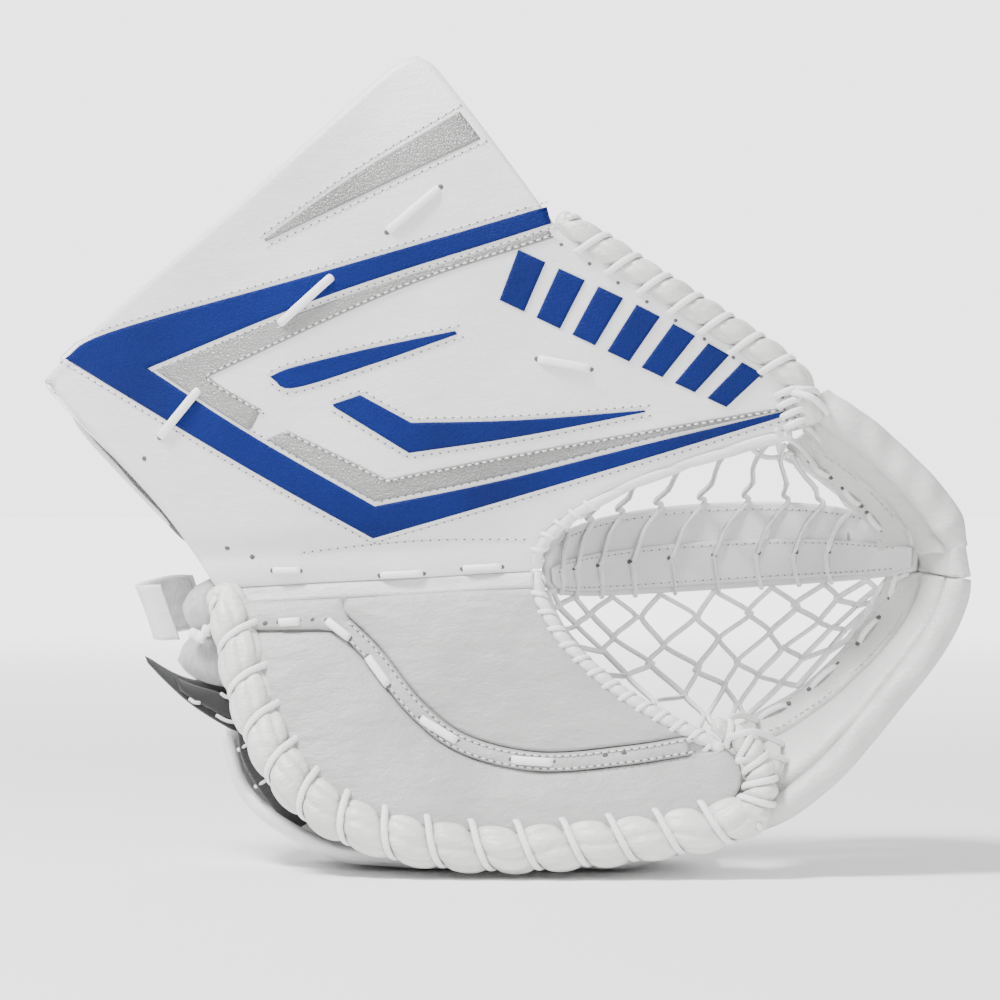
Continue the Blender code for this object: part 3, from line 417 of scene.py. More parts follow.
# ---- the glove's working surfaces ----------------------------------------------------------------
def along_break(x):
    return (x - BREAK_HEEL[0]) / (BREAK_APEX[0] - BREAK_HEEL[0])


def break_z(x):
    """Height of the middle of the break."""
    return BREAK_HEEL[2] + (BREAK_APEX[2] - BREAK_HEEL[2]) * along_break(x)


def break_y(x):
    """Depth of the break."""
    return BREAK_HEEL[1] + (BREAK_APEX[1] - BREAK_HEEL[1]) * along_break(x)


def thumb_y(x, z):
    """Cuff and thumb face: leans forward with height, and the cuff curls up on both sides of its middle."""
    rise = np.maximum(z - break_z(x), 0.0)
    lean = 0.16 * rise + 7.0 * (1.0 - np.exp(-rise / 45.0))
    across = 0.741 * (x + 123.0) + 0.673 * (z - 283.0)
    along = 0.673 * (x + 123.0) - 0.741 * (z - 283.0)
    fade = np.clip(1.0 - along / 110.0, 0.0, 1.0) ** 2
    return break_y(x) + 2.0 - lean + 0.0017 * across ** 2 * fade


def palm_y(x, z):
    """Finger face: leans forward to the finger rim and is dished between."""
    drop = np.maximum(break_z(x) - z, 0.0)
    share = np.minimum(drop / 115.0, 1.15)
    dish = 5.0 * np.sin(np.pi * np.minimum(share, 1.0))
    return break_y(x) + 2.0 + share * (-46.0 - break_y(x)) - 5.0 * (1.0 - np.exp(-drop / 45.0)) + dish


def cuff_face(x, z):
    """The cuff's leather: the thumb face with slow hand-sewn waves and a soft dip at the break."""
    waves = 0.5 * np.sin(x / 23.0 + 1.3) * np.sin(z / 19.0) + 0.3 * np.sin(x / 11.0 - z / 13.0)
    rise = np.maximum(z - break_z(x), 0.0)
    dip = 2.2 * np.exp(-((rise - 15.0) / 6.0) ** 2) * np.clip((10.0 - x) / 40.0, 0.0, 1.0)
    return thumb_y(x, z) + waves + dip


# ---- making meshes -------------------------------------------------------------------------------
def make_piece(name, points, faces, look, looks, uv=None, smooth_shade=True, level=0):
    """A mesh piece in the row frame; its faces are turned outwards by the sign of its volume."""
    world = to_world(points)
    faces = np.asarray(faces)
    tri = np.vstack([faces[:, [0, 1, 2]], faces[:, [0, 2, 3]]]) if faces.shape[1] == 4 else faces
    centred = world - world.mean(axis=0)
    volume = np.einsum("ij,ij->", centred[tri[:, 0]], np.cross(centred[tri[:, 1]], centred[tri[:, 2]]))
    if volume < 0.0:
        faces = faces[:, ::-1]
    mesh = bpy.data.meshes.new(name)
    polygons = [tuple(dict.fromkeys(face)) for face in faces.tolist()]
    polygons = [face for face in polygons if len(face) > 2]
    mesh.from_pydata(world.tolist(), [], polygons)
    if uv is not None:
        layer = mesh.uv_layers.new(name="UVMap")
        index = np.empty(len(mesh.loops), int)
        mesh.loops.foreach_get("vertex_index", index)
        layer.data.foreach_set("uv", (np.asarray(uv)[index] * MM).ravel())
    mesh.polygons.foreach_set("use_smooth", np.full(len(mesh.polygons), smooth_shade))
    mesh.validate()
    piece = bpy.data.objects.new(name, mesh)
    bpy.context.collection.objects.link(piece)
    mesh.materials.append(looks[look])
    if level:
        rounder = piece.modifiers.new("round", "SUBSURF")
        rounder.levels = level
        rounder.render_levels = level
    return piece


def grid_faces(rows, columns, offset=0, wrap_rows=False, wrap_columns=False):
    """Quads of a grid of vertices, with either direction closed on itself when asked."""
    i = np.arange(rows if wrap_rows else rows - 1)
    j = np.arange(columns if wrap_columns else columns - 1)
    i, j = np.meshgrid(i, j, indexing="ij")
    i2, j2 = (i + 1) % rows, (j + 1) % columns
    quads = np.stack([i * columns + j, i * columns + j2, i2 * columns + j2, i2 * columns + j], axis=-1)
    return quads.reshape(-1, 4) + offset


def slab(front, back):
    """Points and quads of a closed sheet from a front grid and a back grid of the same size."""
    rows, columns = front.shape[:2]
    count = rows * columns
    points = np.vstack([front.reshape(-1, 3), back.reshape(-1, 3)])
    faces = [grid_faces(rows, columns), grid_faces(rows, columns, count)[:, ::-1]]
    index = np.arange(count).reshape(rows, columns)
    rim = np.concatenate([index[0, :-1], index[:-1, -1], index[-1, :0:-1], index[:0:-1, 0]])
    after = np.roll(rim, -1)
    faces.append(np.stack([after, rim, rim + count, after + count], axis=1))
    return points, np.vstack(faces)


def frames_along(path, lead=(0.0, -1.0, 0.0)):
    """Tangent, side and third direction along a path; side stays close to lead."""
    ahead = np.gradient(path, axis=0)
    ahead /= np.maximum(np.linalg.norm(ahead, axis=1, keepdims=True), 1e-9)
    side = np.broadcast_to(np.asarray(lead, float), path.shape)
    side = side - ahead * np.einsum("ij,ij->i", side, ahead)[:, None]
    side /= np.maximum(np.linalg.norm(side, axis=1, keepdims=True), 1e-9)
    return ahead, side, np.cross(ahead, side)


def carried(path):
    """Side directions carried along a path without twist, each the last one turned by the least amount."""
    ahead = np.gradient(path, axis=0)
    ahead /= np.maximum(np.linalg.norm(ahead, axis=1, keepdims=True), 1e-9)
    start = np.array([0.0, -1.0, 0.0]) if abs(ahead[0, 1]) < 0.8 else np.array([1.0, 0.0, 0.0])
    sides = [start]
    for direction in ahead:
        side = sides[-1] - direction * sides[-1].dot(direction)
        sides.append(side / max(np.linalg.norm(side), 1e-9))
    side = np.array(sides[1:])
    return ahead, side, np.cross(ahead, side)


def tube(path, wide, thick=None, sides=10, lead=None, grooves=0.0, strands=5, flare=None):
    """Points, quads and UV of a cord: an ellipse of half axes wide and thick carried along a path.

    Its ends are closed by shrinking rings. grooves cuts shallow lengthwise valleys between strands.
    """
    path = np.asarray(path, float)
    thick = wide if thick is None else thick
    ahead, side, other = carried(path) if lead is None else frames_along(path, lead)
    angle = np.arange(sides) * 2.0 * np.pi / sides
    size = np.ones(len(path)) if flare is None else np.asarray(flare, float)
    groove = 1.0 - grooves * (0.5 - 0.5 * np.cos(strands * angle))
    a = (np.cos(angle) * groove)[None, :, None] * (size * wide)[:, None, None]
    b = (np.sin(angle) * groove)[None, :, None] * (size * thick)[:, None, None]
    rings = path[:, None, :] + other[:, None, :] * a + side[:, None, :] * b
    cap = min(np.mean(wide), np.mean(thick))
    caps = []
    for end, sign in ((0, -1.0), (-1, 1.0)):
        centre = path[end]
        ring = rings[end]
        for push, shrink in ((0.45, 0.85), (0.8, 0.5), (0.95, 0.02)):
            caps.append((centre + (ring - centre) * shrink + sign * ahead[end] * cap * push * size[end],
                         sign))
    before = [c for c, sign in caps if sign < 0][::-1]
    after = [c for c, sign in caps if sign > 0]
    rings = np.concatenate([np.array(before), rings, np.array(after)])
    points = rings.reshape(-1, 3)
    count = len(rings)
    faces = grid_faces(count, sides, wrap_columns=True)
    reach = lengths(rings.mean(axis=1))
    round_way = 2.0 * np.pi * cap * np.arange(sides) / sides
    uv = np.stack(np.broadcast_arrays(reach[:, None], round_way[None, :]), axis=-1).reshape(-1, 2)
    return points, np.vstack([faces] + both_ends(count, sides)), uv


def cap_fan(ring):
    """Quads that close a small ring: pairs of its points joined across."""
    half = len(ring) // 2
    first = ring[:half]
    second = ring[::-1][:half]
    quads = np.stack([first[:-1], first[1:], second[1:], second[:-1]], axis=1)
    return quads[:, ::-1]


def both_ends(count, sides):
    """Quads that close the first and the last ring of a tube."""
    return [cap_fan(np.arange(sides)), cap_fan((count - 1) * sides + np.arange(sides))[:, ::-1]]


def joined(parts):
    """Several (points, faces, uv) sets as one."""
    points, faces, uvs, offset = [], [], [], 0
    for part in parts:
        points.append(part[0])
        faces.append(part[1] + offset)
        uvs.append(part[2] if len(part) > 2 and part[2] is not None else np.zeros((len(part[0]), 2)))
        offset += len(part[0])
    return np.vstack(points), np.vstack(faces), np.vstack(uvs)


def rounded(distance, radius):
    """How far a face has sunk at a distance from its edge: a quarter circle of that radius."""
    share = np.clip(distance / radius, 0.0, 1.0)
    return radius * (1.0 - np.sqrt(np.maximum(1.0 - (1.0 - share) ** 2, 0.0)))


def spread(count, power=0.62):
    """Shares from 0 to 1 that crowd towards both ends."""
    t = np.linspace(-1.0, 1.0, count)
    return 0.5 + 0.5 * np.sign(t) * (1.0 - (1.0 - np.abs(t)) ** (1.0 / power))


def edge_distance(points, line):
    """Distance of x,z points to a polyline."""
    best = np.full(len(points), 1e9)
    for a, b in zip(line[:-1], line[1:]):
        run = b - a
        share = np.clip(((points - a) @ run) / max(run @ run, 1e-9), 0.0, 1.0)
        best = np.minimum(best, np.linalg.norm(points - (a + share[:, None] * run), axis=1))
    return best


def loft(edge_a, edge_b, across):
    """x,z grid between two edges of the same point count, with rows at the shares in across."""
    return edge_a[None] + (edge_b - edge_a)[None] * np.asarray(across)[:, None, None]


def coons(low, high, left, right, us, vs):
    """x,z grid inside four edges: both ways of sweeping, less the sweep of the corners."""
    low, high = resample(low, us), resample(high, us)
    left, right = resample(left, vs), resample(right, vs)
    u, v = np.asarray(us)[None, :, None], np.asarray(vs)[:, None, None]
    swept = (1 - v) * low[None] + v * high[None] + (1 - u) * left[:, None] + u * right[:, None]
    corners = ((1 - u) * (1 - v) * low[0] + u * (1 - v) * low[-1] + (1 - u) * v * high[0] + u * v
               * high[-1])
    return swept - corners


def padded_board(flat, surface, front, thick, radius, puff=0.0, puff_reach=14.0):
    """A padded leather piece on a surface: rounded edges, and a crown that grows away from the edge."""
    rows, columns = flat.shape[:2]
    x, z = flat[..., 0], flat[..., 1]
    loop = np.concatenate([flat[0, :-1], flat[:-1, -1], flat[-1, :0:-1], flat[:0:-1, 0], flat[:1, 0]])
    gap = edge_distance(flat.reshape(-1, 2), loop).reshape(rows, columns)
    sink = rounded(gap, radius)
    crown = puff * (1.0 - np.exp(-gap / puff_reach))
    y = surface(x, z)
    face = np.stack([x, y + front + sink - crown, z], axis=-1)
    rear = np.stack([x, y + front + thick - sink, z], axis=-1)
    points, faces = slab(face, rear)
    uv = np.tile(flat.reshape(-1, 2), (2, 1))
    return points, faces, uv


# ---- stitches and laces --------------------------------------------------------------------------
def seeds(centres, ahead, up, long, wide, high):
    """Small rounded seeds, one per stitch: a 6 by 3 ring grid scaled along three directions."""
    around = np.arange(6) * np.pi / 3.0
    tilt = np.array([-1.25, -0.45, 0.45, 1.25])
    shape = np.stack([np.outer(np.sin(tilt), np.ones(6)), np.outer(np.cos(tilt), np.cos(around)),
                      np.outer(np.cos(tilt), np.sin(around))], axis=-1).reshape(-1, 3)
    side = np.cross(ahead, up)
    placed = (centres[:, None] + shape[None, :, :1] * ahead[:, None] * long
              + shape[None, :, 1:2] * side[:, None] * wide + shape[None, :, 2:3] * up[:, None] * high)
    quads = grid_faces(4, 6, wrap_columns=True)
    caps = np.array([[0, 3, 2, 1], [0, 5, 4, 3], [18, 19, 20, 21], [18, 21, 22, 23]])
    single = np.vstack([quads[:, ::-1], caps[:, ::-1]])
    faces = (single[None] + (np.arange(len(centres)) * 24)[:, None, None]).reshape(-1, 4)
    return placed.reshape(-1, 3), faces, np.zeros((len(centres) * 24, 2))


def stitch_row(line, surface, lift, pitch=3.5, long=1.25):
    """One row of stitches along an x,z line, and the needle holes between them as near-black seeds of
    painted shade.
    """
    count = max(3, int(lengths(line)[-1] / pitch))
    flat = resample(line, count)
    points = np.stack([flat[:, 0], surface(flat[:, 0], flat[:, 1]) - lift, flat[:, 1]], axis=1)
    ahead = np.gradient(points, axis=0)
    ahead /= np.maximum(np.linalg.norm(ahead, axis=1, keepdims=True), 1e-9)
    up = np.broadcast_to([0.0, -1.0, 0.0], points.shape)
    thread = seeds(points, ahead, up, long, 0.42, 0.38)
    holes = seeds(points + ahead * 0.5 * lengths(points)[-1] / count, ahead, up, 0.42, 0.42, 0.28)
    return thread, holes


def lace_tube(points, count, wide=LACE_HALF_WIDTH, thick=LACE_HALF_THICK, sides=10, lead=None):
    """A flat lace through given points."""
    return tube(smooth(points, count), wide, thick, sides, lead)


# ---- outlines ------------------------------------------------------------------------------------
THUMB_TOP = [(19, 277), (54, 253), (88, 231), (109, 217), (120, 208)]
THUMB_MOUTH = [(10.5, 138), (17, 148), (34, 160), (59, 172), (98, 185), (121, 191)]
PALM_RIM = [(-117, 103), (-114, 93), (-108, 79), (-95, 63), (-82, 47), (-66, 36), (-44, 29), (-14, 26),
            (21, 26), (57, 28), (80, 32), (92, 39), (95, 47), (90, 56)]
PALM_MOUTH = [(10, 121), (13, 113), (23, 97), (44, 78), (66, 65), (88, 54)]
SEAM = [(-77, 110), (-60, 94), (-41, 71), (-20, 56), (12, 49), (50, 52), (76, 56)]


def break_run(start_x, end_x, rise):
    """A straight run beside the break, rise above its middle."""
    x = np.array([start_x, end_x], float)
    return np.stack([x, break_z(x) + rise], axis=1)


def cuff_edges():
    """Low, high, left and right edges of the cuff and thumb."""
    crotch = break_run(-129, 9.5, 0.0)
    low = chain(crotch, np.vstack([crotch[1:], THUMB_MOUTH]), count=400)
    high = chain([(-202, 211), (-199, 221), (-115, 290), (-52, 346)], [(-52, 346), (-42, 351), (-33, 347)],
                 [(-33, 347), (-8, 314), (19, 277)], THUMB_TOP, count=500)
    left = smooth(np.vstack([crotch[:1], [(-139, 137), (-157, 161), (-197, 203), (-202, 211)]]), 200)
    right = smooth([(121, 191), (125.5, 200), (120, 208)], 40)
    return low, high, left, right


LOW, HIGH, LEFT, RIGHT = cuff_edges()
FREE_EDGE = resample(np.vstack([LOW[206:], RIGHT[1:], HIGH[::-1][1:], LEFT[::-1][1:]]), 320)
COVER_THICK, BREAK_THICK, EDGE_ROUND = 15.1, 3.4, 3.4


def smoothstep(value):
    """Cubic step from 0 to 1."""
    value = np.clip(value, 0.0, 1.0)
    return value * value * (3.0 - 2.0 * value)


def cover_thickness(x, z):
    """Thin leather at the break, full padding from 30 mm above it."""
    return BREAK_THICK + (COVER_THICK - BREAK_THICK) * smoothstep((z - break_z(x) - 7.0) / 24.0)


def cuff_skin(x, z):
    """Outer face of the cuff cover: its working surface, rounded over at its free edges."""
    shape = np.shape(x)
    gap = edge_distance(np.stack([np.ravel(x), np.ravel(z)], axis=1), FREE_EDGE).reshape(shape)
    sink = rounded(gap, EDGE_ROUND) * np.minimum(1.0, 0.42 * cover_thickness(x, z) / EDGE_ROUND)
    return cuff_face(x, z) + sink + 0.9 * rounded(z - break_z(x), 1.6)


# ---- cuff and thumb ------------------------------------------------------------------------------
def make_cuff_cover(looks):
    """The white leather cover of the cuff and thumb, padded, thin and bending at the break."""
    flat = coons(LOW, HIGH, LEFT, RIGHT, spread(190), spread(130))
    x, z = flat[..., 0], flat[..., 1]
    front = cuff_skin(x, z)
    gap = edge_distance(flat.reshape(-1, 2), FREE_EDGE).reshape(x.shape)
    thick = cover_thickness(x, z)
    sink = rounded(gap, EDGE_ROUND) * np.minimum(1.0, 0.42 * thick / EDGE_ROUND)
    rear = cuff_face(x, z) + thick - sink
    points, faces = slab(np.stack([x, front, z], axis=-1), np.stack([x, rear, z], axis=-1))
    cover = make_piece("cuff_cover", points, faces, "white", looks)
    on_break(-60, 0.0)
    on_break(-60, 9.0)
    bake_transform(cover)
    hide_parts("cuff_face_panel", "cuff_foam_core", "cuff_stiffener_board")


def on_break(x, rise):
    """A row-frame point on the face beside the break."""
    return tuple(to_world([x, break_y(x), break_z(x) + rise]))


def make_cuff_liner(looks):
    """Terry lining behind the cuff, a little proud of the heel edge."""
    left = smooth([(-127, 153), (-141, 141), (-160.5, 160), (-190, 193), (-196, 209)], 120)
    low = smooth([(-127, 153), (-60, 157), (0, 163), (40, 172), (110, 193)], 200)
    high = chain([(-196, 209), (-113, 284), (-48, 341)], [(-48, 341), (-38, 342)],
                 [(-38, 342), (-13, 310), (14, 271)],
                 [(14, 271), (60, 243), (114, 207)], count=300)
    right = smooth([(110, 193), (117, 200), (114, 207)], 30)
    flat = coons(low, high, left, right, spread(90, 0.8), spread(70, 0.8))

    def quilted(x, z):
        """The cuff's face with soft waves 7 mm x 2 pi apart."""
        return cuff_face(x, z) + 0.5 * np.sin(x / 7.0) * np.sin(z / 7.0)

    points, faces = padded_board(flat, quilted, COVER_THICK - 0.4, 3.0, 1.2)[:2]
    liner = make_piece("cuff_terry_lining", points, faces, "terry", looks)
    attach(liner, "thumb_half")
    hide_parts("cuff_liner_panel")


def paired(*pairs, step=2.2):
    """Two edges of a trim piece with the same number of points: each pair of stretches keeps its corners."""
    first, second = [], []
    for a, b in pairs:
        a, b = np.asarray(a, float), np.asarray(b, float)
        count = max(4, int(max(lengths(a)[-1], lengths(b)[-1]) / step))
        first.append(smooth(a, count) if not first else smooth(a, count)[1:])
        second.append(smooth(b, count) if not second else smooth(b, count)[1:])
    return np.vstack(first), np.vstack(second)


def trim_edges():
    """Both edges of every coloured piece on the cuff."""
    return {
        "blue_chevron": ("blue", paired(
            ([(15, 285), (4, 282), (-90, 256), (-176, 233.5), (-196, 223)],
             [(17, 278), (4, 274), (-77, 249), (-158, 218)]),
            ([(-196, 223), (-117, 176), (-60, 144)], [(-158, 218), (-113, 189), (-59, 158)]),
            ([(-60, 144), (-5, 160), (59, 179), (118, 197)],
             [(-59, 158), (-5, 169), (55, 184), (118, 199)]))),
        "silver_upper_band": ("silver", paired(
            ([(16, 275), (-77, 246), (-155, 217.5)], [(18, 272), (-47, 251), (-131, 214)]),
            ([(-155, 217.5), (-136, 205), (-113, 190.5)], [(-131, 214), (-122, 208), (-108, 200)]))),
        "silver_lower_band": ("silver", paired(
            ([(-106, 187), (-82, 173), (-59, 160)], [(-97, 191), (-76, 181), (-54, 170)]),
            ([(-59, 160), (-5, 171), (55, 186), (114, 198.5)],
             [(-54, 170), (4, 181), (60, 191), (114, 200)]))),
        "silver_flash": ("silver", paired(
            ([(-106, 272.5), (-66, 300), (-22, 326)], [(-105, 271.5), (-48, 298), (-13, 314)]))),
        "blue_dart_upper": ("blue", paired(
            ([(-104, 214), (-94, 218), (-60, 226), (-24, 233)],
             [(-103, 213.2), (-94, 209), (-60, 219), (-23, 231.6)]))),
        "blue_dart_lower": ("blue", paired(
            ([(-77, 202), (-65, 206)], [(-76.5, 201), (-70, 197)]),
            ([(-65, 206), (-43, 194)], [(-70, 197), (-44, 181)]),
            ([(-43, 194), (4, 195), (57, 199)], [(-44, 181), (4, 188), (57, 198.2)]))),
    }


def lay_trim(name, edges, look, looks, proud=0.9):
    """A thin leather piece between two edges, laid on the cuff's skin with rounded edges."""
    flat = loft(edges[0], edges[1], spread(12, 0.7))
    points, faces, uv = padded_board(flat, cuff_skin, -proud, proud + 0.5, 0.55)
    piece = make_piece(name, points, faces, look, looks, uv)
    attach(piece, "thumb_half")
    return piece


def offset(line, distance):
    """An x,z line moved sideways, to its left when distance is positive."""
    line = np.asarray(line, float)
    return line + sideways(line) * distance


def make_trims(looks):
    """Chevron, bands, flash and darts, with their rows of stitches."""
    rows = []
    dark_rows = []
    for name, (look, edges) in trim_edges().items():
        piece = lay_trim(name + "_leather", edges, look, looks, 0.9 if look == "blue" else 0.7)
        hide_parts(name)
        first, second = edges
        middle = 0.5 * (first + second)
        away = [np.sign(np.einsum("ij,ij->", e - middle, sideways(e))) for e in edges]
        if look == "blue" or name == "silver_flash":
            rows += [offset(e, 1.9 * side) for e, side in zip(edges, away)]
        if name == "silver_upper_band" or name == "silver_lower_band":
            dark_rows.append(offset(second, -1.1 * away[1]))
    rows.append(break_row(-92, 4, 14.0))
    threads, holes = [], []
    for line in rows:
        thread, hole = stitch_row(line, cuff_skin, 0.15)
        threads.append(thread)
        holes.append(hole)
    for line in dark_rows:
        thread, hole = stitch_row(line, cuff_skin, 0.75, pitch=3.2, long=0.95)
        holes.append(hole)
        threads.append(thread)
    for name, parts, look in (("cuff_stitching", threads, "thread"), ("cuff_stitch_holes", holes, "hole")):
        points, faces, uv = joined(parts)
        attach(make_piece(name, points, faces, look, looks, uv), "thumb_half")


def break_row(start_x, end_x, rise):
    """A gently bowed line above the break."""
    x = np.linspace(start_x, end_x, 40)
    return np.stack([x, break_z(x) + rise + 2.0 * np.cos((x + 40.0) / 30.0)], axis=1)


def make_bars(looks):
    """A row of plain slanted bars on the thumb, from wide to narrow."""
    top = smooth([(3, 267), (58, 241), (110, 212)], 200)
    bottom = smooth([(-5, 246), (44, 222.5), (95, 198.5)], 200)
    parts = []
    share = 0.0
    for index in range(7):
        wide = 0.105 - 0.004 * index
        span = np.linspace(share, share + wide, 14)
        low = np.stack([np.interp(span, np.linspace(0, 1, 200), bottom[:, k]) for k in (0, 1)], axis=1)
        high = np.stack([np.interp(span, np.linspace(0, 1, 200), top[:, k]) for k in (0, 1)], axis=1)
        flat = loft(low, high, spread(14, 0.75))
        parts.append(padded_board(flat, cuff_skin, -1.0, 1.5, 0.5))
        share += wide + 0.052
    points, faces, uv = joined(parts)
    bars = make_piece("slanted_bars", points, faces, "blue", looks, uv)
    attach(bars, "thumb_half")
    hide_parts("emblem_patch")


def tie(start, end, surface, lift, wide=1.9, thick=1.0):
    """A lace that comes out of one hole, lies across the leather and goes back in at the other."""
    start, end = np.asarray(start, float), np.asarray(end, float)
    share = np.array([0.0, 0.05, 0.16, 0.5, 0.84, 0.95, 1.0])
    up = np.array([-2.2, -0.2, 1.0, 1.35, 1.0, -0.2, -2.2])
    flat = start + (end - start) * share[:, None]
    ends = surface(np.array([start[0], end[0]]), np.array([start[1], end[1]]))
    y = ends[0] + (ends[1] - ends[0]) * share
    y = np.minimum(y, surface(flat[:, 0], flat[:, 1])) - lift - up
    return lace_tube(np.stack([flat[:, 0], y, flat[:, 1]], axis=1), 40, wide, thick, lead=(0.0, -1.0, 0.0))


def eyelets(spots, surface, lift=0.0, size=1.25):
    """Lace holes: near-black seeds whose dark is painted shade inside the holes."""
    spots = np.asarray(spots, float)
    y = surface(spots[:, 0], spots[:, 1]) - lift
    centres = np.stack([spots[:, 0], y, spots[:, 1]], axis=1)
    ahead = np.broadcast_to([1.0, 0.0, 0.0], centres.shape)
    up = np.broadcast_to([0.0, -1.0, 0.0], centres.shape)
    return seeds(centres, ahead, up, size, size, 0.35)


def make_cuff_ties(looks):
    """Short laces across the cuff, and their holes."""
    ties = {"cuff_tie_top": ((-53, 275), (-30, 294)), "cuff_tie_middle": ((-100, 236), (-76, 257)),
            "cuff_tie_heel": ((-153, 188), (-135, 209)), "cuff_tie_thumb": ((11, 221), (34, 216.5))}
    spots = []
    for name, (start, end) in ties.items():
        lift = 0.9 if "middle" in name or "heel" in name else 0.0
        piece = make_piece(name + "_lace", *tie(start, end, cuff_skin, lift)[:2], "lace", looks)
        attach(piece, "thumb_half")
        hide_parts(name)
        spots += [start, end]
    spots += [(-160, 179), (-124, 140), (-113, 136)]
    piece = make_piece("cuff_eyelets", *eyelets(spots, cuff_skin, 0.05)[:2], "hole", looks)
    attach(piece, "thumb_half")


# ---- rolls and their lacing ----------------------------------------------------------------------
def roll_frame(path, away):
    """Tangent, front and outward directions of a rolled edge; away points off the board."""
    ahead = heading(path)
    out = away - ahead * np.einsum("ij,ij->i", away, ahead)[:, None]
    out = unit(out)
    front = np.cross(ahead, out)
    front *= np.sign(front @ np.array([0.0, -1.0, 0.0]))[:, None]
    return ahead, front, out


def laced_roll(path, away, radius, pitch, pinch=0.16, sides=36, start=0.0, ripple=0.03):
    """A padded roll squeezed along the helix of its lace, with long soft creases between turns."""
    reach = lengths(path)
    ahead, front, out = roll_frame(path, away)
    angle = np.arange(sides) * 2.0 * np.pi / sides
    turn = reach[:, None] / pitch - angle[None, :] / (2.0 * np.pi) - start
    off = (turn - np.round(turn)) * pitch
    size = 1.0 - pinch * np.exp(-(off / 2.6) ** 2) + 0.06 * np.cos(2.0 * np.pi * turn + np.pi)
    drift = 0.7 * np.sin(reach / 17.0) + 0.4 * np.sin(reach / 6.5)
    creases = 1.0 - 2.2 * np.abs(np.cos(3.5 * angle + drift[:, None])) ** 5
    size = size + ripple * creases * (1.0 - 0.7 * np.exp(-(off / 3.0) ** 2))
    rings = path[:, None] + (np.asarray(radius) * size.T).T[..., None] * (
        np.cos(angle)[None, :, None] * front[:, None] + np.sin(angle)[None, :, None] * out[:, None])
    caps = []
    for end, sign in ((0, -1.0), (-1, 1.0)):
        ring = rings[end]
        centre = ring.mean(axis=0)
        wide = np.linalg.norm(ring - centre, axis=1).mean()
        caps.append([centre + (ring - centre) * shrink + sign * ahead[end] * wide * push
                     for push, shrink in ((0.30, 0.94), (0.55, 0.78), (0.72, 0.5), (0.8, 0.05))])
    rings = np.concatenate([np.array(caps[0][::-1]), rings, np.array(caps[1])])
    points = rings.reshape(-1, 3)
    count = len(rings)
    faces = grid_faces(count, sides, wrap_columns=True)
    return points, np.vstack([faces] + both_ends(count, sides))


def roll_lace(path, away, radius, pitch, extra, start=0.0, wide=1.5, thick=1.05, per_turn=26):
    """The lace along that helix; on the board's side it runs on to a hole, extra beyond the roll."""
    reach = lengths(path)
    turns = np.arange(int(np.ceil(start * per_turn)), int(reach[-1] / pitch * per_turn))
    angle = turns * 2.0 * np.pi / per_turn
    where = (turns / per_turn + start) * pitch
    keep = (where > 1.0) & (where < reach[-1] - 3.5)
    angle, where = angle[keep], where[keep]
    ahead, front, out = roll_frame(path, away)
    pick = [np.stack([np.interp(where, reach, part[:, k]) for k in range(3)], axis=1)
            for part in (path, front, out)]
    size = np.interp(where, reach, np.broadcast_to(radius, reach.shape)) * 0.83 + thick * 0.6
    bump = np.clip(-np.sin(angle), 0.0, 1.0) ** 3
    line = pick[0] + size[:, None] * (np.cos(angle)[:, None] * pick[1] + np.sin(angle)[:, None] * pick[2])
    line -= pick[2] * (extra * bump)[:, None]
    normal = np.cos(angle)[:, None] * pick[1] + np.sin(angle)[:, None] * pick[2]
    return lace_along(line, normal, wide, thick)


def lace_along(line, normal, wide, thick, sides=10):
    """A flat lace along a line, lying flat against given outward directions."""
    ahead = heading(line)
    side = normal - ahead * np.einsum("ij,ij->i", normal, ahead)[:, None]
    side = unit(side)
    other = np.cross(ahead, side)
    angle = np.arange(sides) * 2.0 * np.pi / sides
    rings = line[:, None] + other[:, None] * (wide * np.cos(angle))[None, :, None] \
        + side[:, None] * (thick * np.sin(angle))[None, :, None]
    first, last = rings[0], rings[-1]
    caps = [(first.mean(axis=0) + (first - first.mean(axis=0)) * 0.1 - ahead[0] * thick)[None],
            (last.mean(axis=0) + (last - last.mean(axis=0)) * 0.1 + ahead[-1] * thick)[None]]
    rings = np.concatenate([caps[0], rings, caps[1]])
    points = rings.reshape(-1, 3)
    count = len(rings)
    reach = lengths(rings.mean(axis=1))
    uv = np.stack(np.broadcast_arrays(reach[:, None], (thick * angle)[None, :]), axis=-1).reshape(-1, 2)
    return points, np.vstack([grid_faces(count, sides, wrap_columns=True)] + both_ends(count, sides)), uv


def make_thumb_roll(looks):
    """Rolled top edge of the thumb with its lacing."""
    edge = smooth([(20, 276), (54, 253), (88, 231), (109, 217), (119, 207), (122, 196)], 220)
    away = np.concatenate([sideways(edge), np.zeros((220, 1))], axis=1)[:, [0, 2, 1]]
    centre = edge + sideways(edge) * 4.0
    y = thumb_y(edge[:, 0], edge[:, 1]) + 2.2
    path = np.stack([centre[:, 0], y, centre[:, 1]], axis=1)
    taper = THUMB_ROLL_R * (0.75 + 0.25 * smoothstep(np.linspace(0, 6, 220)))
    # The roll takes the slightly darker copy of the white leather, whose darker tone is painted shade.
    roll = make_piece("thumb_top_roll", *laced_roll(path, away, taper, 15.5, 0.24, 44, ripple=0.05),
                      "roll", looks)
    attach(roll, "thumb_half")
    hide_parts("thumb_edge_roll")
    lace = roll_lace(path, away, taper, 15.5, 3.0)
    piece = make_piece("thumb_top_lacing", *lace[:2], "lace", looks, lace[2])
    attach(piece, "thumb_half")
    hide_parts("thumb_edge_lacing")
    inner = offset(edge, -5.0)[8::24]
    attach(make_piece("thumb_top_eyelets", *eyelets(inner, cuff_skin, 0.0, 0.9)[:2], "hole", looks),
            "thumb_half")


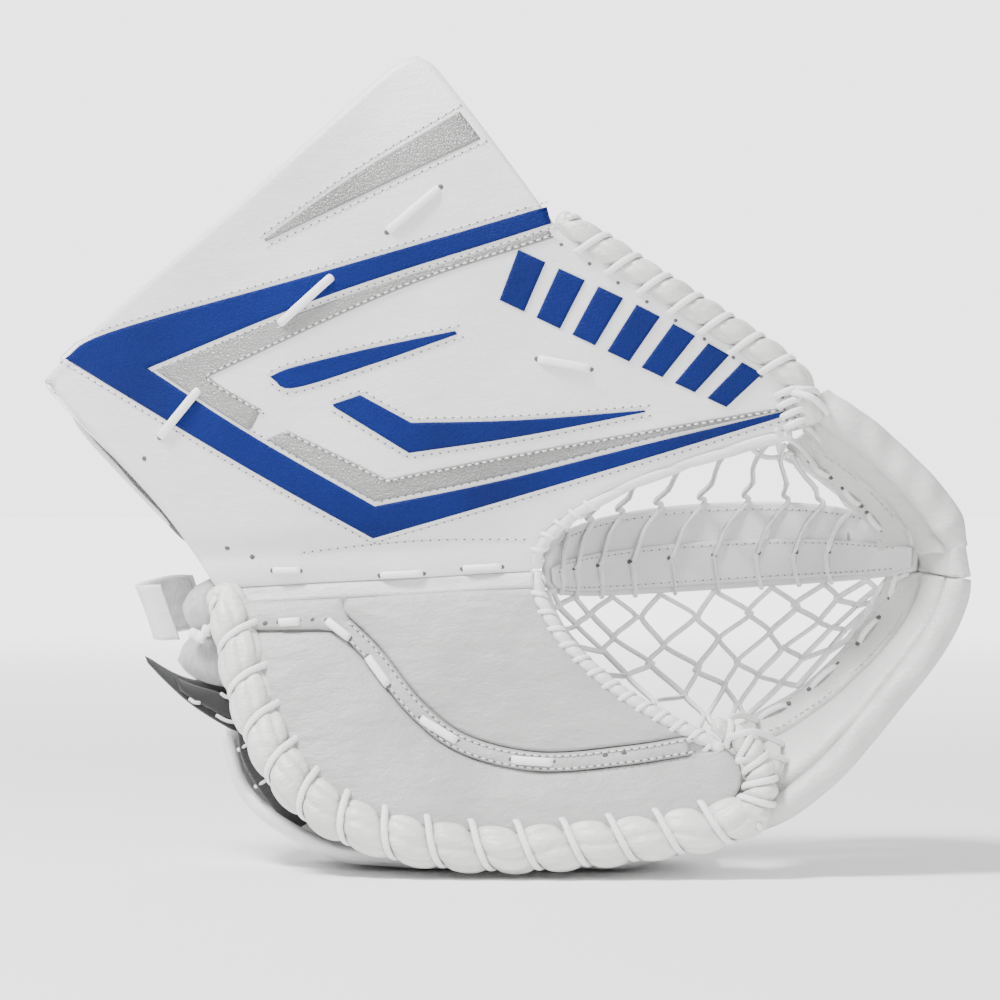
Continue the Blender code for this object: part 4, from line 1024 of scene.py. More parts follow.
def make_palm_roll(looks):
    """Thick roll round the finger rim, its lacing, and the knotted end at the fingertips."""
    centre = smooth([(-126, 118), (-120, 98), (-115, 79), (-107, 60), (-95, 41), (-78, 27), (-56, 18),
                     (-28, 13),
                     (4, 12), (40, 14.5), (72, 19), (90, 22.5), (101, 28)], 520)
    centre = centre + sideways(centre) * 0.8
    inner = centre + sideways(centre) * 8.0
    away3 = np.stack([-sideways(centre)[:, 0], np.zeros(520), -sideways(centre)[:, 1]], axis=1)
    y = palm_y(inner[:, 0], inner[:, 1]) + 1.5
    path = np.stack([centre[:, 0], y, centre[:, 1]], axis=1)
    radius = 9.5 * (0.84 + 0.16 * smoothstep(np.linspace(0.2, 9, 520)))
    # The rim roll takes the slightly darker copy of the white leather, whose darker tone is painted shade.
    piece = make_piece("palm_rim_roll", *laced_roll(path, away3, radius, 20.0, 0.22, 72, ripple=0.06),
                       "roll", looks)
    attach(piece, "palm_half")
    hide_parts("palm_edge_roll")
    lace = roll_lace(path, away3, radius, 20.0, 3.6, wide=1.55, thick=0.95)
    piece = make_piece("palm_rim_lacing", *lace[:2], "lace", looks, lace[2])
    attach(piece, "palm_half")
    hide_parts("palm_edge_lacing")
    spots = (centre + sideways(centre) * 14.2)[20::22]
    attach(make_piece("palm_rim_eyelets", *eyelets(spots, palm_skin, 0.3, 1.0)[:2], "hole", looks),
            "palm_half")
    knot = smooth([(99, 25), (105, 33), (106.5, 43), (103, 53), (95, 61), (88, 64)], 130)
    path = np.stack([knot[:, 0], palm_y(knot[:, 0], knot[:, 1]) + 0.5, knot[:, 1]], axis=1)
    away3 = np.stack([-sideways(knot)[:, 0], np.zeros(130), -sideways(knot)[:, 1]], axis=1)
    size = np.linspace(8.0, 4.2, 130)
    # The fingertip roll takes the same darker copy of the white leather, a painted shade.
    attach(make_piece("fingertip_roll", *laced_roll(path, away3, size, 9.0, 0.26), "roll", looks),
            "palm_half")
    lace = roll_lace(path, away3, size, 9.0, 1.6, wide=1.5, thick=1.0)
    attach(make_piece("fingertip_lacing", *lace[:2], "lace", looks, lace[2]), "palm_half")


# ---- palm ----------------------------------------------------------------------------------------
def palm_skin(x, z):
    """Palm face with slow pulls across it."""
    pulls = 1.4 * np.sin((x + 0.8 * z) / 17.0) * np.exp(-((z - 60.0) / 45.0) ** 2)
    pulls = pulls + 0.35 * np.sin((x - z) / 9.0)
    return palm_y(x, z) + 0.6 * pulls


def make_palm(looks):
    """Upper panel, seam strip and lower panel of the palm, sewn side by side on a leather core."""
    seam = smooth(SEAM, 200)
    above, below = offset(seam, 4.2), offset(seam, -4.2)
    mouth = smooth(PALM_MOUTH, 120)[:-12]
    top = chain(break_run(-72, 10, -6.5), mouth, count=240)
    upper = loft(top, resample(above, 240), spread(60))
    corner = break_run(-119, -74, -6.5)
    strip_top = chain(corner, np.vstack([corner[1:] + [[0.3, -0.3]], offset(seam, 3.9)[6:]]), count=240)
    strip_low = chain([(-117, 104), (-84, 104.5)], np.vstack([[(-84, 104.5)], offset(seam, -3.9)[7::12]]),
                      count=240)
    strip = loft(strip_top, strip_low, spread(20))
    rim = smooth(PALM_RIM, 260)
    tuck = np.minimum(1.0, np.minimum(lengths(rim), lengths(rim)[-1] - lengths(rim)) / 25.0)
    rim = rim - sideways(rim) * (6.5 * tuck)[:, None]
    low_top = chain([(-117, 103), (-84.5, 103.5)], np.vstack([[(-84.5, 103.5)], below[7::12]]), count=260)
    lower = loft(low_top, rim, spread(60))
    for name, flat, node, puff, proud in (("palm_upper_leather", upper, "palm_upper_panel", 2.4, 0.0),
                                          ("palm_seam_leather", strip, "palm_seam_strip", 2.2, 0.8),
                                          ("palm_lower_leather", lower, "palm_lower_panel", 2.4, 0.0)):
        points, faces, uv = padded_board(flat, palm_skin, -proud, 4.5 + proud, 1.9, puff, 9.0)
        # The palm panels take the grey palm leather, whose grey is partly its own tone and partly painted
        # shade.
        piece = make_piece(name, points, faces, "palm", looks, uv)
        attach(piece, "palm_half")
        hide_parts(node)
    outer = chain(break_run(-118, 10, -6.0), count=200)
    core = loft(resample(np.vstack([outer, smooth(PALM_MOUTH, 100)[1:]]), 260), resample(rim, 260),
                spread(70))
    points, faces, uv = padded_board(core, palm_y, 2.6, 9.6, 1.5)
    piece = make_piece("palm_core", points, faces, "palm", looks, uv)
    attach(piece, "palm_half")
    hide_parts("palm_foam_pad", "palm_stiffener_board")
    points, faces, uv = padded_board(core, palm_y, 12.4, 2.6, 1.0)
    piece = make_piece("palm_terry_lining", points, faces, "terry", looks, uv)
    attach(piece, "palm_half")
    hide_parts("palm_liner")
    make_palm_sewing(seam, looks)


def make_palm_sewing(seam, looks):
    """Laces across the seam strip, their holes, and two rows of stitches."""
    ties = {"palm_tie_heel": ((-80, 108.5), (-70, 101)), "palm_tie_side": ((-62, 93), (-53, 81)),
            "palm_tie_middle": ((-39, 67), (-23, 57.5)), "palm_tie_finger": ((0, 50), (18, 49))}
    skin = lambda x, z: palm_skin(x, z) - 1.3
    spots = []
    for name, (start, end) in ties.items():
        piece = make_piece(name + "_lace", *tie(start, end, skin, 0.2)[:2], "lace", looks)
        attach(piece, "palm_half")
        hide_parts(name)
        spots += [start, end]
    spots += [(-107, 107), (-101, 107.5), (-92, 108), (-86, 108.5), (40, 52), (48, 53)]
    extra = tie((-101, 107.5), (-92, 108), skin, 0.0)
    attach(make_piece("palm_tie_corner_lace", *extra[:2], "lace", looks), "palm_half")
    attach(make_piece("palm_eyelets", *eyelets(spots, skin, 0.1)[:2], "hole", looks), "palm_half")
    threads, holes = [], []
    for distance in (2.6, -2.6):
        thread, hole = stitch_row(offset(seam, distance)[8:], skin, 0.2, pitch=3.2, long=1.1)
        threads.append(thread)
        holes.append(hole)
    for name, parts, look in (("palm_stitching", threads, "thread"), ("palm_stitch_holes", holes, "hole")):
        points, faces, uv = joined(parts)
        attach(make_piece(name, points, faces, look, looks, uv), "palm_half")


def make_break(looks):
    """Soft leather of the break below its middle line, and the laces that run along it."""
    x = np.linspace(-124, 9.7, 90)
    rise = spread(16) * -9.5
    flat = np.stack(np.broadcast_arrays(x[None], break_z(x)[None] + rise[:, None]), axis=-1)
    crease = 0.9 * rounded(-rise, 1.6)[:, None]
    fold = 0.9 * np.sin(x / 13.0 + 1.0)[None] * np.sin(rise / 2.6)[:, None]
    y = np.where(rise[:, None] > -6.5, palm_y(flat[..., 0], flat[..., 1]),
                 palm_y(flat[..., 0], flat[..., 1]) + 1.2)
    face = np.stack([flat[..., 0], y + crease + fold, flat[..., 1]], axis=-1)
    rear = face + np.array([0.0, BREAK_THICK - 0.9, 0.0])
    points, faces = slab(face, rear)
    strip = make_piece("break_leather", points, faces, "soft", looks)
    on_break(-60, -9.0)
    on_break(-60, 0.0)
    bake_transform(strip)
    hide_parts("break_strip")
    spots = []
    for index, (start, end) in enumerate((((-57, 128), (-38, 129)), ((-21, 131), (-4, 132)),
                                          ((-104, 130), (-92, 130)))):
        piece = make_piece(f"break_lace_{index + 1}", *tie(start, end, cuff_skin, 0.0, 1.6)[:2], "lace",
                           looks)
        on_break(-60, 0.0)
        on_break(-60, 9.0)
        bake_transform(piece)
        spots += [start, end]
    piece = make_piece("break_eyelets", *eyelets(spots, cuff_skin, 0.05)[:2], "hole", looks)
    on_break(-60, 0.0)
    on_break(-60, 9.0)
    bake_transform(piece)


# ---- pocket mouth, T web and net -----------------------------------------------------------------
def rim_path(line, surface, inwards, depth, count):
    """A binding's path along a mouth edge."""
    edge = smooth(line, count)
    moved = offset(edge, inwards)
    return np.stack([moved[:, 0], surface(edge[:, 0], edge[:, 1]) + depth, moved[:, 1]], axis=1), edge


def make_mouth(looks):
    """Bindings of the pocket's mouth with their close lacing."""
    upper = [(10, 133)] + THUMB_MOUTH[:-1] + [(117, 190)]
    lower = [(9.6, 128)] + PALM_MOUTH
    for name, line, surface, inwards, node, first, second, ends, size, pitch in (
            ("thumb_mouth", upper, thumb_y, -1.3, "pocket_rim_thumb", "spine", "thumb_half", (0.0, 10.0),
             2.6, 26.0),
            ("palm_mouth", lower, palm_y, 1.8, "pocket_rim_palm", "palm_half", "spine", (-10.0, 0.0), 3.1,
             8.5)):
        path, edge = rim_path(line, surface, inwards, 2.4, 200)
        away = np.concatenate([sideways(edge), np.zeros((200, 1))], axis=1)[:, [0, 2, 1]] * np.sign(inwards)
        binding = make_piece(name + "_binding",
                             *laced_roll(path, away, size, pitch, 0.16, 24, ripple=0.03), "white", looks)
        on_break(10, ends[0])
        on_break(10, ends[1])
        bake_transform(binding)
        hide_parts(node)
        keep = 70 if node == "pocket_rim_thumb" else 200
        closeness = pitch if keep == 200 else 7.5
        lace = roll_lace(path[:keep], away[:keep], size, closeness, 1.6, 0.0, 1.1, 0.75, 16)
        piece = make_piece(name + "_lacing", *lace[:2], "lace", looks, lace[2])
        on_break(10, ends[0])
        on_break(10, ends[1])
        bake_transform(piece)
        if node == "pocket_rim_thumb":
            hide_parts("crotch_binding")


def arm_section(roll, inner, flap, radius, side):
    """Closed profile of the T at each point of its length: flap, seam, padded band and front roll."""
    d = inner - roll
    band = np.linalg.norm(d, axis=1, keepdims=True)
    d = d / band
    d2 = flap - inner
    reach = np.linalg.norm(d2, axis=1, keepdims=True)
    d2 = d2 / reach
    along = heading(roll)
    n = np.cross(along, d)
    n *= np.sign(n[:, :1] * (-d[:, :1]) * 0.0 + np.where(n[:, 2:] * side < 0, 1.0, -1.0))
    n2 = np.cross(along, d2)
    n2 *= np.where(n2[:, 2:] * side < 0, 1.0, -1.0)
    n = unit(n)
    n2 = unit(n2)
    r = radius[:, None]
    knots = [flap + d2 * 0.8, flap - d2 * 0.6 + n2 * 1.9, inner + d2 * 0.5 * reach + n2 * 2.9,
             inner + d2 * 2.6 + n2 * 2.5,
             inner + d2 * 0.3 - n * 1.6, inner - d * 2.8 + n * 3.4, roll + d * 0.62 * band + n * 6.4,
             roll + d * (1.75 * r) + n * 5.2, roll + d * (1.2 * r) + n * 0.6,
             roll + d * (0.86 * r) + n * (0.52 * r),
             roll + n * r, roll - d * (0.72 * r) + n * (0.72 * r), roll - d * r,
             roll - d * (0.72 * r) - n * (0.72 * r),
             roll - n * r, roll + d * (0.7 * r) - n * (0.85 * r), roll + d * 0.5 * band - n * 4.2,
             inner - n * 2.6,
             inner + d2 * 0.5 * reach - n2 * 1.8, flap - d2 * 0.4 - n2 * 1.3]
    ring = np.stack(knots, axis=1)
    ring = np.concatenate([ring[:, -1:], ring, ring[:, :2]], axis=1)
    share = np.linspace(0.0, 1.0, 5, endpoint=False)[None, None, :, None]
    a, b, c, e = (ring[:, k:ring.shape[1] - 3 + k][:, :, None] for k in range(4))
    fine = 0.5 * (2 * b + (c - a) * share + (2 * a - 5 * b + 4 * c - e) * share ** 2
                  + (3 * b - a - 3 * c + e) * share ** 3)
    return fine.reshape(len(roll), -1, 3)


def closed_carry(rings):
    """Points and quads of rings carried along a path, with both ends closed."""
    count, sides = rings.shape[:2]
    caps = []
    for end in (0, -1):
        ring = rings[end]
        mate = np.roll(ring[::-1], 1, axis=0)
        caps.append([ring + (0.5 * (ring + mate) - ring) * share for share in (0.35, 0.9)])
    after = rings[1] - rings[0]
    push = -after / np.maximum(np.linalg.norm(after, axis=1, keepdims=True), 1e-9)
    first = np.array([caps[0][1] + push * 1.6, caps[0][0] + push * 1.2])
    after = rings[-1] - rings[-2]
    push = after / np.maximum(np.linalg.norm(after, axis=1, keepdims=True), 1e-9)
    last = np.array([caps[1][0] + push * 1.2, caps[1][1] + push * 1.6])
    rings = np.concatenate([first, rings, last])
    points = rings.reshape(-1, 3)
    count = len(rings)
    return points, np.vstack([grid_faces(count, sides, wrap_columns=True)] + both_ends(count, sides))


def with_depth(points, depth):
    """x,z points as x,y,z; depth is one number or one for each point."""
    points = np.asarray(points, float)
    return np.stack([points[:, 0], np.broadcast_to(depth, len(points)), points[:, 1]], axis=1)


def arm_curves(side, count=120):
    """Roll, inner edge and flap edge of one arm of the T, to the middle of the break."""
    if side > 0:
        roll = [(131, 203), (138, 197), (153, 186), (172, 168), (184, 153), (189.5, 140.5)]
        inner = [(130, 190), (138, 184), (150, 176), (164, 163), (175, 149), (178, 139.5)]
        flap = [(122, 184), (130, 177), (142, 167), (154, 155), (160, 148), (163, 139)]
        depth = ([-36, -41, -41, -41, -41, -41], [-8, -6, -6, -6, -6, -6], [6, 10, 10, 10, 10, 10])
    else:
        roll = [(98, 21), (118, 32), (139, 50), (160, 75), (180, 101), (189, 121), (190, 133),
                (189.5, 140.5)]
        inner = [(96, 45), (112, 55), (125, 62), (146, 77), (166, 97), (178, 116), (181, 131), (178, 139.5)]
        flap = [(94, 57), (110, 67), (126, 76), (144, 92), (159, 110), (166, 125), (166, 133), (163, 139)]
        depth = ([-30, -39] + [-41] * 6, [-4] + [-6] * 7, [6] + [10] * 7)
    curves = []
    for line, deep in zip((roll, inner, flap), depth):
        curves.append(smooth(np.stack([[p[0] for p in line], deep, [p[1] for p in line]], axis=1), count))
    return curves


def make_arms(looks):
    """Both arms of the T, creased where they meet at the apex, with flap laces and stitches."""
    for side, name, nodes, size in (
            (1, "t_upper", ("t_upper_roll", "t_upper_arm", "t_upper_flap"), 7.6),
            (-1, "t_lower", ("t_lower_roll", "t_lower_arm", "t_lower_flap"), 6.2)):
        roll, inner, flap = arm_curves(side)
        share = np.linspace(0.0, 1.0, len(roll))
        taper = 0.38 * smoothstep((share - 0.86) / 0.14) + 0.12 * smoothstep((0.14 - share) / 0.14)
        radius = size * (1.0 - taper)
        rings = arm_section(roll, inner, flap, radius, side)
        lap = np.arange(rings.shape[1])[None]
        wave = 0.8 * np.sin(share * 17.0)[:, None] * np.sin(lap * 0.17)
        wave = wave + 0.45 * np.sin(37.0 * share[:, None] + 0.23 * lap)
        rings = rings + wave[..., None] * np.array([0.0, -1.0, 0.0])
        # The arms take the darker copy of the white leather, whose darker tone is painted shade.
        piece = make_piece(name + "_web", *closed_carry(rings), "arm", looks)
        if side > 0:
            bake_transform(piece)
        else:
            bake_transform(piece)
        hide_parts(*nodes)
        make_flap_laces(side, name, inner, flap, looks)


def make_flap_laces(side, name, inner, flap, looks):
    """Laces along a T flap with their holes, and a stitched row beside its seam."""
    body = "thumb_half" if side > 0 else "palm_half"
    line = inner + (flap - inner) * 0.72
    front = np.array([-0.35, -0.75, -0.55 * side])
    front /= np.linalg.norm(front)
    line = line + front * 3.5
    spots = ((0.16, 0.34), (0.45, 0.62), (0.68, 0.84)) if side > 0 else ((0.14, 0.27), (0.36, 0.5),
                                                                         (0.6, 0.72), (0.8, 0.9))
    parts, holes = [], []
    for start, end in spots:
        share = np.linspace(start, end, 7)
        points = np.stack([np.interp(share, np.linspace(0, 1, len(line)), line[:, k]) for k in range(3)],
                          axis=1)
        points += front * np.array([-2.6, 0.1, 0.9, 1.1, 0.9, 0.1, -2.6])[:, None]
        parts.append(tube(smooth(points, 30), 1.5, 0.95, 10, lead=front))
        holes += [points[0] + front * 2.2, points[-1] + front * 2.2]
    points, faces, uv = joined(parts)
    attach(make_piece(name + "_flap_laces", points, faces, "lace", looks, uv), body)
    holes = np.array(holes)
    up = np.broadcast_to(front, holes.shape)
    ahead = np.cross(up, np.broadcast_to([0.0, 0.0, 1.0], holes.shape))
    ahead = unit(ahead)
    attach(make_piece(name + "_flap_eyelets", *seeds(holes, ahead, up, 1.2, 1.2, 0.5)[:2], "hole", looks),
            body)
    for level, row in ((0.22, "seam"), (0.9, "edge")):
        path = inner + (flap - inner) * level + front * (3.3 if row == "seam" else 2.7)
        count = int(lengths(path)[-1] / 3.4)
        centres = resample(path[6:-10], count)
        ahead = heading(centres)
        up = np.broadcast_to(front, centres.shape)
        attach(make_piece(f"{name}_{row}_stitches", *seeds(centres, ahead, up, 1.1, 0.4, 0.35)[:2],
                           "thread", looks),
                body)


def stem_line(count=140):
    """Middle line of the stem and half its width."""
    plan = smooth([(17, 2), (25, 30), (46, 58), (78, 73), (112, 69), (138, 49), (153, 27), (165, 8),
                   (175, -8)], count)
    share = np.linspace(0.0, 1.0, count)
    path = np.stack([plan[:, 0], plan[:, 1], break_z(plan[:, 0]) + 5.0 * np.sin(np.pi * share)], axis=1)
    base = 6.5 + 2.5 * share
    half = base + (20.0 - base) * np.sin(np.pi * share ** 0.92) ** 0.7
    return path, half


def stem_out(path):
    """Directions out of the pocket along the stem."""
    ahead = np.gradient(path, axis=0)
    out = np.stack([-ahead[:, 1], ahead[:, 0], np.zeros(len(path))], axis=1)
    return unit(out)


def stem_band(low, high, front, thick, radius):
    """A strip of the stem between two shares of its half width, front ahead of its middle line."""
    path, half = stem_line()
    out = stem_out(path)
    level = low + (high - low) * spread(26)
    z = level[:, None] * half[None]
    gap = np.minimum(level - low, high - level)[:, None] * half[None]
    ends = np.minimum(lengths(path), lengths(path)[-1] - lengths(path))[None]
    sink = rounded(np.minimum(gap, ends), radius)
    cup = 2.0 * (level[:, None] ** 2) * (half[None] / 20.0)
    base = path[None] + np.stack([np.zeros_like(z), np.zeros_like(z), z], axis=-1)
    face = base + out[None] * (sink - front - cup)[..., None]
    rear = base + out[None] * (thick - front - sink - cup)[..., None]
    return slab(face, rear)


def make_stem(looks):
    """The T's stem behind the net: a leather band with a second band sewn on its lower part."""
    piece = make_piece("stem_band", *stem_band(-1.0, 1.0, 0.0, 4.0, 1.4), "white", looks)
    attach(piece, "spine")
    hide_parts("t_stem")
    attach(make_piece("stem_facing", *stem_band(-0.86, 0.12, 2.0, 2.2, 0.9), "white", looks), "spine")
    path, half = stem_line()
    out = stem_out(path)
    for name, level, lift in (("stem_facing_stitches", 0.02, 2.1), ("stem_top_stitches", 0.82, 1.4),
                              ("stem_low_stitches", -0.76, 3.2)):
        line = path + np.array([0.0, 0.0, 1.0]) * (half * level)[:, None] - out * lift
        centres = resample(line[8:-8], 52)
        ahead = heading(centres)
        up = -stem_out(centres)
        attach(make_piece(name, *seeds(centres, ahead, up, 1.2, 0.42, 0.4)[:2], "thread", looks), "spine")
        holes = centres + ahead * 1.7
        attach(make_piece(name + "_holes", *seeds(holes, ahead, up, 0.4, 0.4, 0.3)[:2], "hole", looks),
                "spine")


def make_gusset(looks):
    """Soft leather tongue that closes the T behind the apex crease."""
    line = smooth([(186, -30), (185, -18), (180, -6), (171, 6), (158, 22), (150, 31)], 60)
    x, y = line[:, 0], line[:, 1]
    rise = 5.0 * spread(12)[:, None] * 2.0 - 5.0
    z = break_z(x)[None] + rise * (1.0 + 0.7 * np.linspace(0, 1, 60))[None]
    face = np.stack(np.broadcast_arrays(x[None] + 0.0 * z, y[None] + 0.0 * z, z), axis=-1)
    rear = face + np.array([3.0, 1.5, 0.0])
    # The gusset takes the grey palm leather, whose grey is partly its own tone and partly painted shade.
    piece = make_piece("apex_gusset", *slab(face, rear), "palm", looks)
    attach(piece, "spine")
    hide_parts("t_apex_gusset")


def net_sheet(side, u, v):
    """Points of a net: from the mouth and flap (v = 0) to the stem (v = 1), bulging out between."""
    if side > 0:
        mouth = np.array(THUMB_MOUTH[1:-1] + [(112, 187)], float)
        y = thumb_y(mouth[:, 0], mouth[:, 1]) + 5.0
    else:
        mouth = np.array(PALM_MOUTH[1:-1] + [(82, 58)], float)
        y = palm_y(mouth[:, 0], mouth[:, 1]) + 5.0
    outer = np.stack([mouth[:, 0], y, mouth[:, 1]], axis=1)
    flap = arm_curves(side, 9)[2][1:-1] + np.array([-1.5, 0.0, -1.5 * side])
    outer = smooth(np.vstack([outer, flap]), 200)
    path, half = stem_line()
    inner = path + np.array([0.0, 0.0, 1.0]) * (side * (half + 0.5))[:, None]
    grid = np.linspace(0.0, 1.0, 200)
    a = np.stack([np.interp(u, grid, outer[:, k]) for k in range(3)], axis=-1)
    inner = resample(inner, 200)
    b = np.stack([np.interp(u, grid, inner[:, k]) for k in range(3)], axis=-1)
    bulge = 12.0 * np.sin(np.pi * np.clip(v, 0.0, 1.0))
    made = a + (b - a) * v[..., None]
    made[..., 1] += bulge
    made[..., 2] += side * 0.25 * bulge
    return made


def stem_front(u, level, lift):
    """Points on the stem's inner face at shares of its length and of its half width."""
    path, half = stem_line(200)
    out = stem_out(path)
    grid = lengths(path) / lengths(path)[-1]
    point = np.stack([np.interp(u, grid, path[:, k]) for k in range(3)], axis=-1)
    away = np.stack([np.interp(u, grid, out[:, k]) for k in range(3)], axis=-1)
    wide = np.interp(u, grid, half)
    point = point - away * np.asarray(lift)[..., None]
    point[..., 2] += level * wide
    return point


def knots_at(points, size):
    """Small overhand knots: three crossed seeds each."""
    parts = []
    for ahead in ((1.0, 0.0, 0.4), (-0.5, 0.3, 1.0), (0.2, -0.5, -0.6)):
        ahead = np.array(ahead) / np.linalg.norm(ahead)
        up = np.cross(ahead, [0.3, 1.0, 0.2])
        up /= np.linalg.norm(up)
        shape = points.shape
        parts.append(seeds(points, np.broadcast_to(ahead, shape), np.broadcast_to(up, shape), size * 1.3,
                           size, size))
    return joined(parts)


def make_upper_net(looks):
    """Eight wavy laces from the mouth to holes in the stem, and two that loop along the mouth."""
    holes = []
    for index in range(9):
        u = 0.09 + 0.088 * index
        lean = 0.004 * np.sin(index * 2.3)
        v = np.array([0.0, 0.12, 0.34, 0.56, 0.76, 0.92])
        us = u + np.array([-0.012, -0.010, 0.0, 0.014 + lean, 0.026, 0.016])
        hang = net_sheet(1, us, v)
        cross = stem_front(np.array([u + 0.03, u - 0.01, u - 0.035]), np.array([1.02, 0.5, -0.12]),
                           np.array([1.6, 2.4, 3.2]))
        dive = stem_front(np.array([u - 0.04]), np.array([-0.2]), np.array([1.0]))
        line = smooth(np.vstack([hang, cross, dive]), 110)
        parts = [tube(line, 1.4, 1.15, 8)]
        low = stem_front(np.array([u - 0.04, u - 0.04, u - 0.036, u - 0.03]),
                         np.array([-0.22, -0.3, -0.65, -1.02]),
                         np.array([1.4, 3.2, 3.4, 2.0]))
        parts.append(tube(smooth(low, 30), 1.3, 1.1, 8))
        parts.append(knots_at(np.vstack([hang[2:3], hang[4:5]]), 1.25))
        points, faces, uv = joined(parts)
        piece = make_piece(f"net_upper_lace_{index + 1}", points, faces, "lace", looks, uv)
        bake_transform(piece)
        holes.append(dive[0] + np.array([0.0, -2.0, 0.0]))
        if index == 0:
            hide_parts("net_upper")
    holes = np.array(holes)
    ahead = np.broadcast_to([1.0, 0.0, 0.0], holes.shape)
    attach(make_piece("stem_eyelets", *seeds(holes, ahead, -stem_out(holes), 1.4, 1.4, 0.6)[:2], "hole",
                       looks), "spine")
    for index, (depth, phase) in enumerate(((0.34, 0.1), (0.27, 0.62))):
        u = np.linspace(0.05, 0.97, 110)
        v = 0.01 + depth * np.abs(np.sin(np.pi * (u * 4.3 + phase)))
        line = net_sheet(1, u, v)
        points, faces, uv = tube(smooth(line, 220), 1.3, 1.05, 8)
        piece = make_piece(f"net_upper_loop_lace_{index + 1}", points, faces, "lace", looks, uv)
        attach(piece, "thumb_half")


def make_lower_net(looks):
    """Knotted diamond net: neighbouring laces zigzag between the mouth and the stem and meet at knots."""
    columns = 8
    rows = 6
    for index in range(columns + 1):
        parts = []
        spots = []
        u0 = 0.03 + 0.94 * index / columns
        for turn in (1.0, -1.0):
            steps = np.arange(rows + 1)
            v = steps / rows * 1.02 - 0.01
            lean = 0.012 * np.sin(steps * 2.1 + index)
            u = u0 + turn * 0.47 / columns * np.where(steps % 2 == 0, 0.0, 1.0) + lean
            u = np.clip(u, 0.0, 1.0)
            line = net_sheet(-1, u, np.clip(v + 0.012 * np.sin(steps * 3.3 + index * 1.7), 0.0, 1.0))
            fine = resample(np.repeat(line, 1, axis=0), 60)
            fine = smooth(line, 60) * 0.45 + fine * 0.55
            parts.append(tube(fine, 1.35, 1.1, 8))
            spots.append(line[1:-1])
        parts.append(knots_at(np.vstack(spots), 1.25))
        points, faces, uv = joined(parts)
        piece = make_piece(f"net_lower_lace_{index + 1}", points, faces, "lace", looks, uv)
        start = net_sheet(-1, np.array([u0]), np.array([0.0]))[0]
        end = net_sheet(-1, np.array([u0]), np.array([1.0]))[0]
        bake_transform(piece)
        if index == 0:
            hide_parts("net_lower")


# ---- back of the hand ----------------------------------------------------------------------------
def sheet_normals(grid):
    """Unit normals of a grid of points."""
    n = np.cross(np.gradient(grid, axis=0), np.gradient(grid, axis=1))
    return n / np.maximum(np.linalg.norm(n, axis=-1, keepdims=True), 1e-9)


def thick_sheet(grid, thick, radius):
    """A sheet thickened along its normals; its edges are rounded by drawing both faces together."""
    n = sheet_normals(grid)
    across = np.concatenate([[0], np.cumsum(np.linalg.norm(np.diff(grid, axis=0), axis=-1).mean(axis=1))])
    along = np.concatenate([[0], np.cumsum(np.linalg.norm(np.diff(grid, axis=1), axis=-1).mean(axis=0))])
    gap = np.minimum(np.minimum(across, across[-1] - across)[:, None],
                     np.minimum(along, along[-1] - along)[None])
    sink = rounded(gap, radius)[..., None]
    return slab(grid + n * sink, grid + n * (thick - sink))


def make_finger_shell(looks):
    """Moulded leather shell over the back of the fingers, with a wrinkled lower edge."""
    floor = smooth([(-129, 54), (-121, 31), (-102, 14), (-75, 3), (-48, 0.5), (-15, 0.5), (15, 0.5),
                    (46, 0.5), (64, 4),
                    (86, 11)], 110)
    rim = smooth(PALM_RIM, 300)
    x, low = floor[:, 0], floor[:, 1]
    rim = rim[:np.argmax(rim[:, 0]) + 1]
    front = palm_y(x, np.interp(x, rim[:, 0], rim[:, 1])) + 14.0 - 3.0 * smoothstep((-90.0 - x) / 20.0)
    high = np.interp(x, (-129, -60, -10, 12, 40, 62, 86), (106, 111, 108, 96, 72, 58, 46))
    back = np.full_like(x, SHELL_Y)
    deep = 34.0 - front
    knots_y = np.stack([front, front + 0.22 * deep, front + 0.6 * deep, np.full_like(x, 34.0), back - 5.0,
                        back, back, back - 3.0], axis=1)
    knots_z = np.stack([low + 4.0, low, low, low, low + 9.0, low + 0.3 * (high - low),
                        low + 0.65 * (high - low), high],
                       axis=1)
    rows = []
    for k in range(len(x)):
        section = smooth(np.stack([knots_y[k], knots_z[k]], axis=1), 70)
        rows.append(np.stack([np.full(70, x[k]), section[:, 0], section[:, 1]], axis=1))
    grid = np.array(rows)
    n = sheet_normals(grid)
    inward = np.sign((np.array([0.0, 20.0, 60.0]) - grid[55, 20]) @ n[55, 20])
    u, v = np.meshgrid(np.linspace(0, 1, grid.shape[0]), np.linspace(0, 1, 70), indexing="ij")
    wrinkle = 0.7 * np.sin(u * 34.0 + 4.0 * v) * np.exp(-(v / 0.25) ** 2) + 0.8 * np.sin(v * 12.0 + 2.0 * u)
    channel = 1.6 * np.exp(-((v - 0.52) / 0.012) ** 2) + 1.6 * np.exp(-((v - 0.78) / 0.012) ** 2)
    grid = grid + n * (inward * (0.7 + 0.4 * wrinkle + channel))[..., None]
    for name, row in (("finger_back_stitches_low", 38), ("finger_back_stitches_high", 57)):
        line = resample(grid[5:-5, row], 62)
        ahead = heading(line)
        up = np.broadcast_to([0.0, 1.0, 0.0], line.shape)
        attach(make_piece(name, *seeds(line, ahead, up, 1.2, 0.45, 0.45)[:2], "thread", looks),
                "palm_half")
    points, faces = thick_sheet(grid if inward > 0 else grid[::-1], 5.5, 2.2)
    shell = make_piece("finger_back_leather", points, faces, "white", looks)
    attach(shell, "palm_half")
    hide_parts("finger_back_shell")


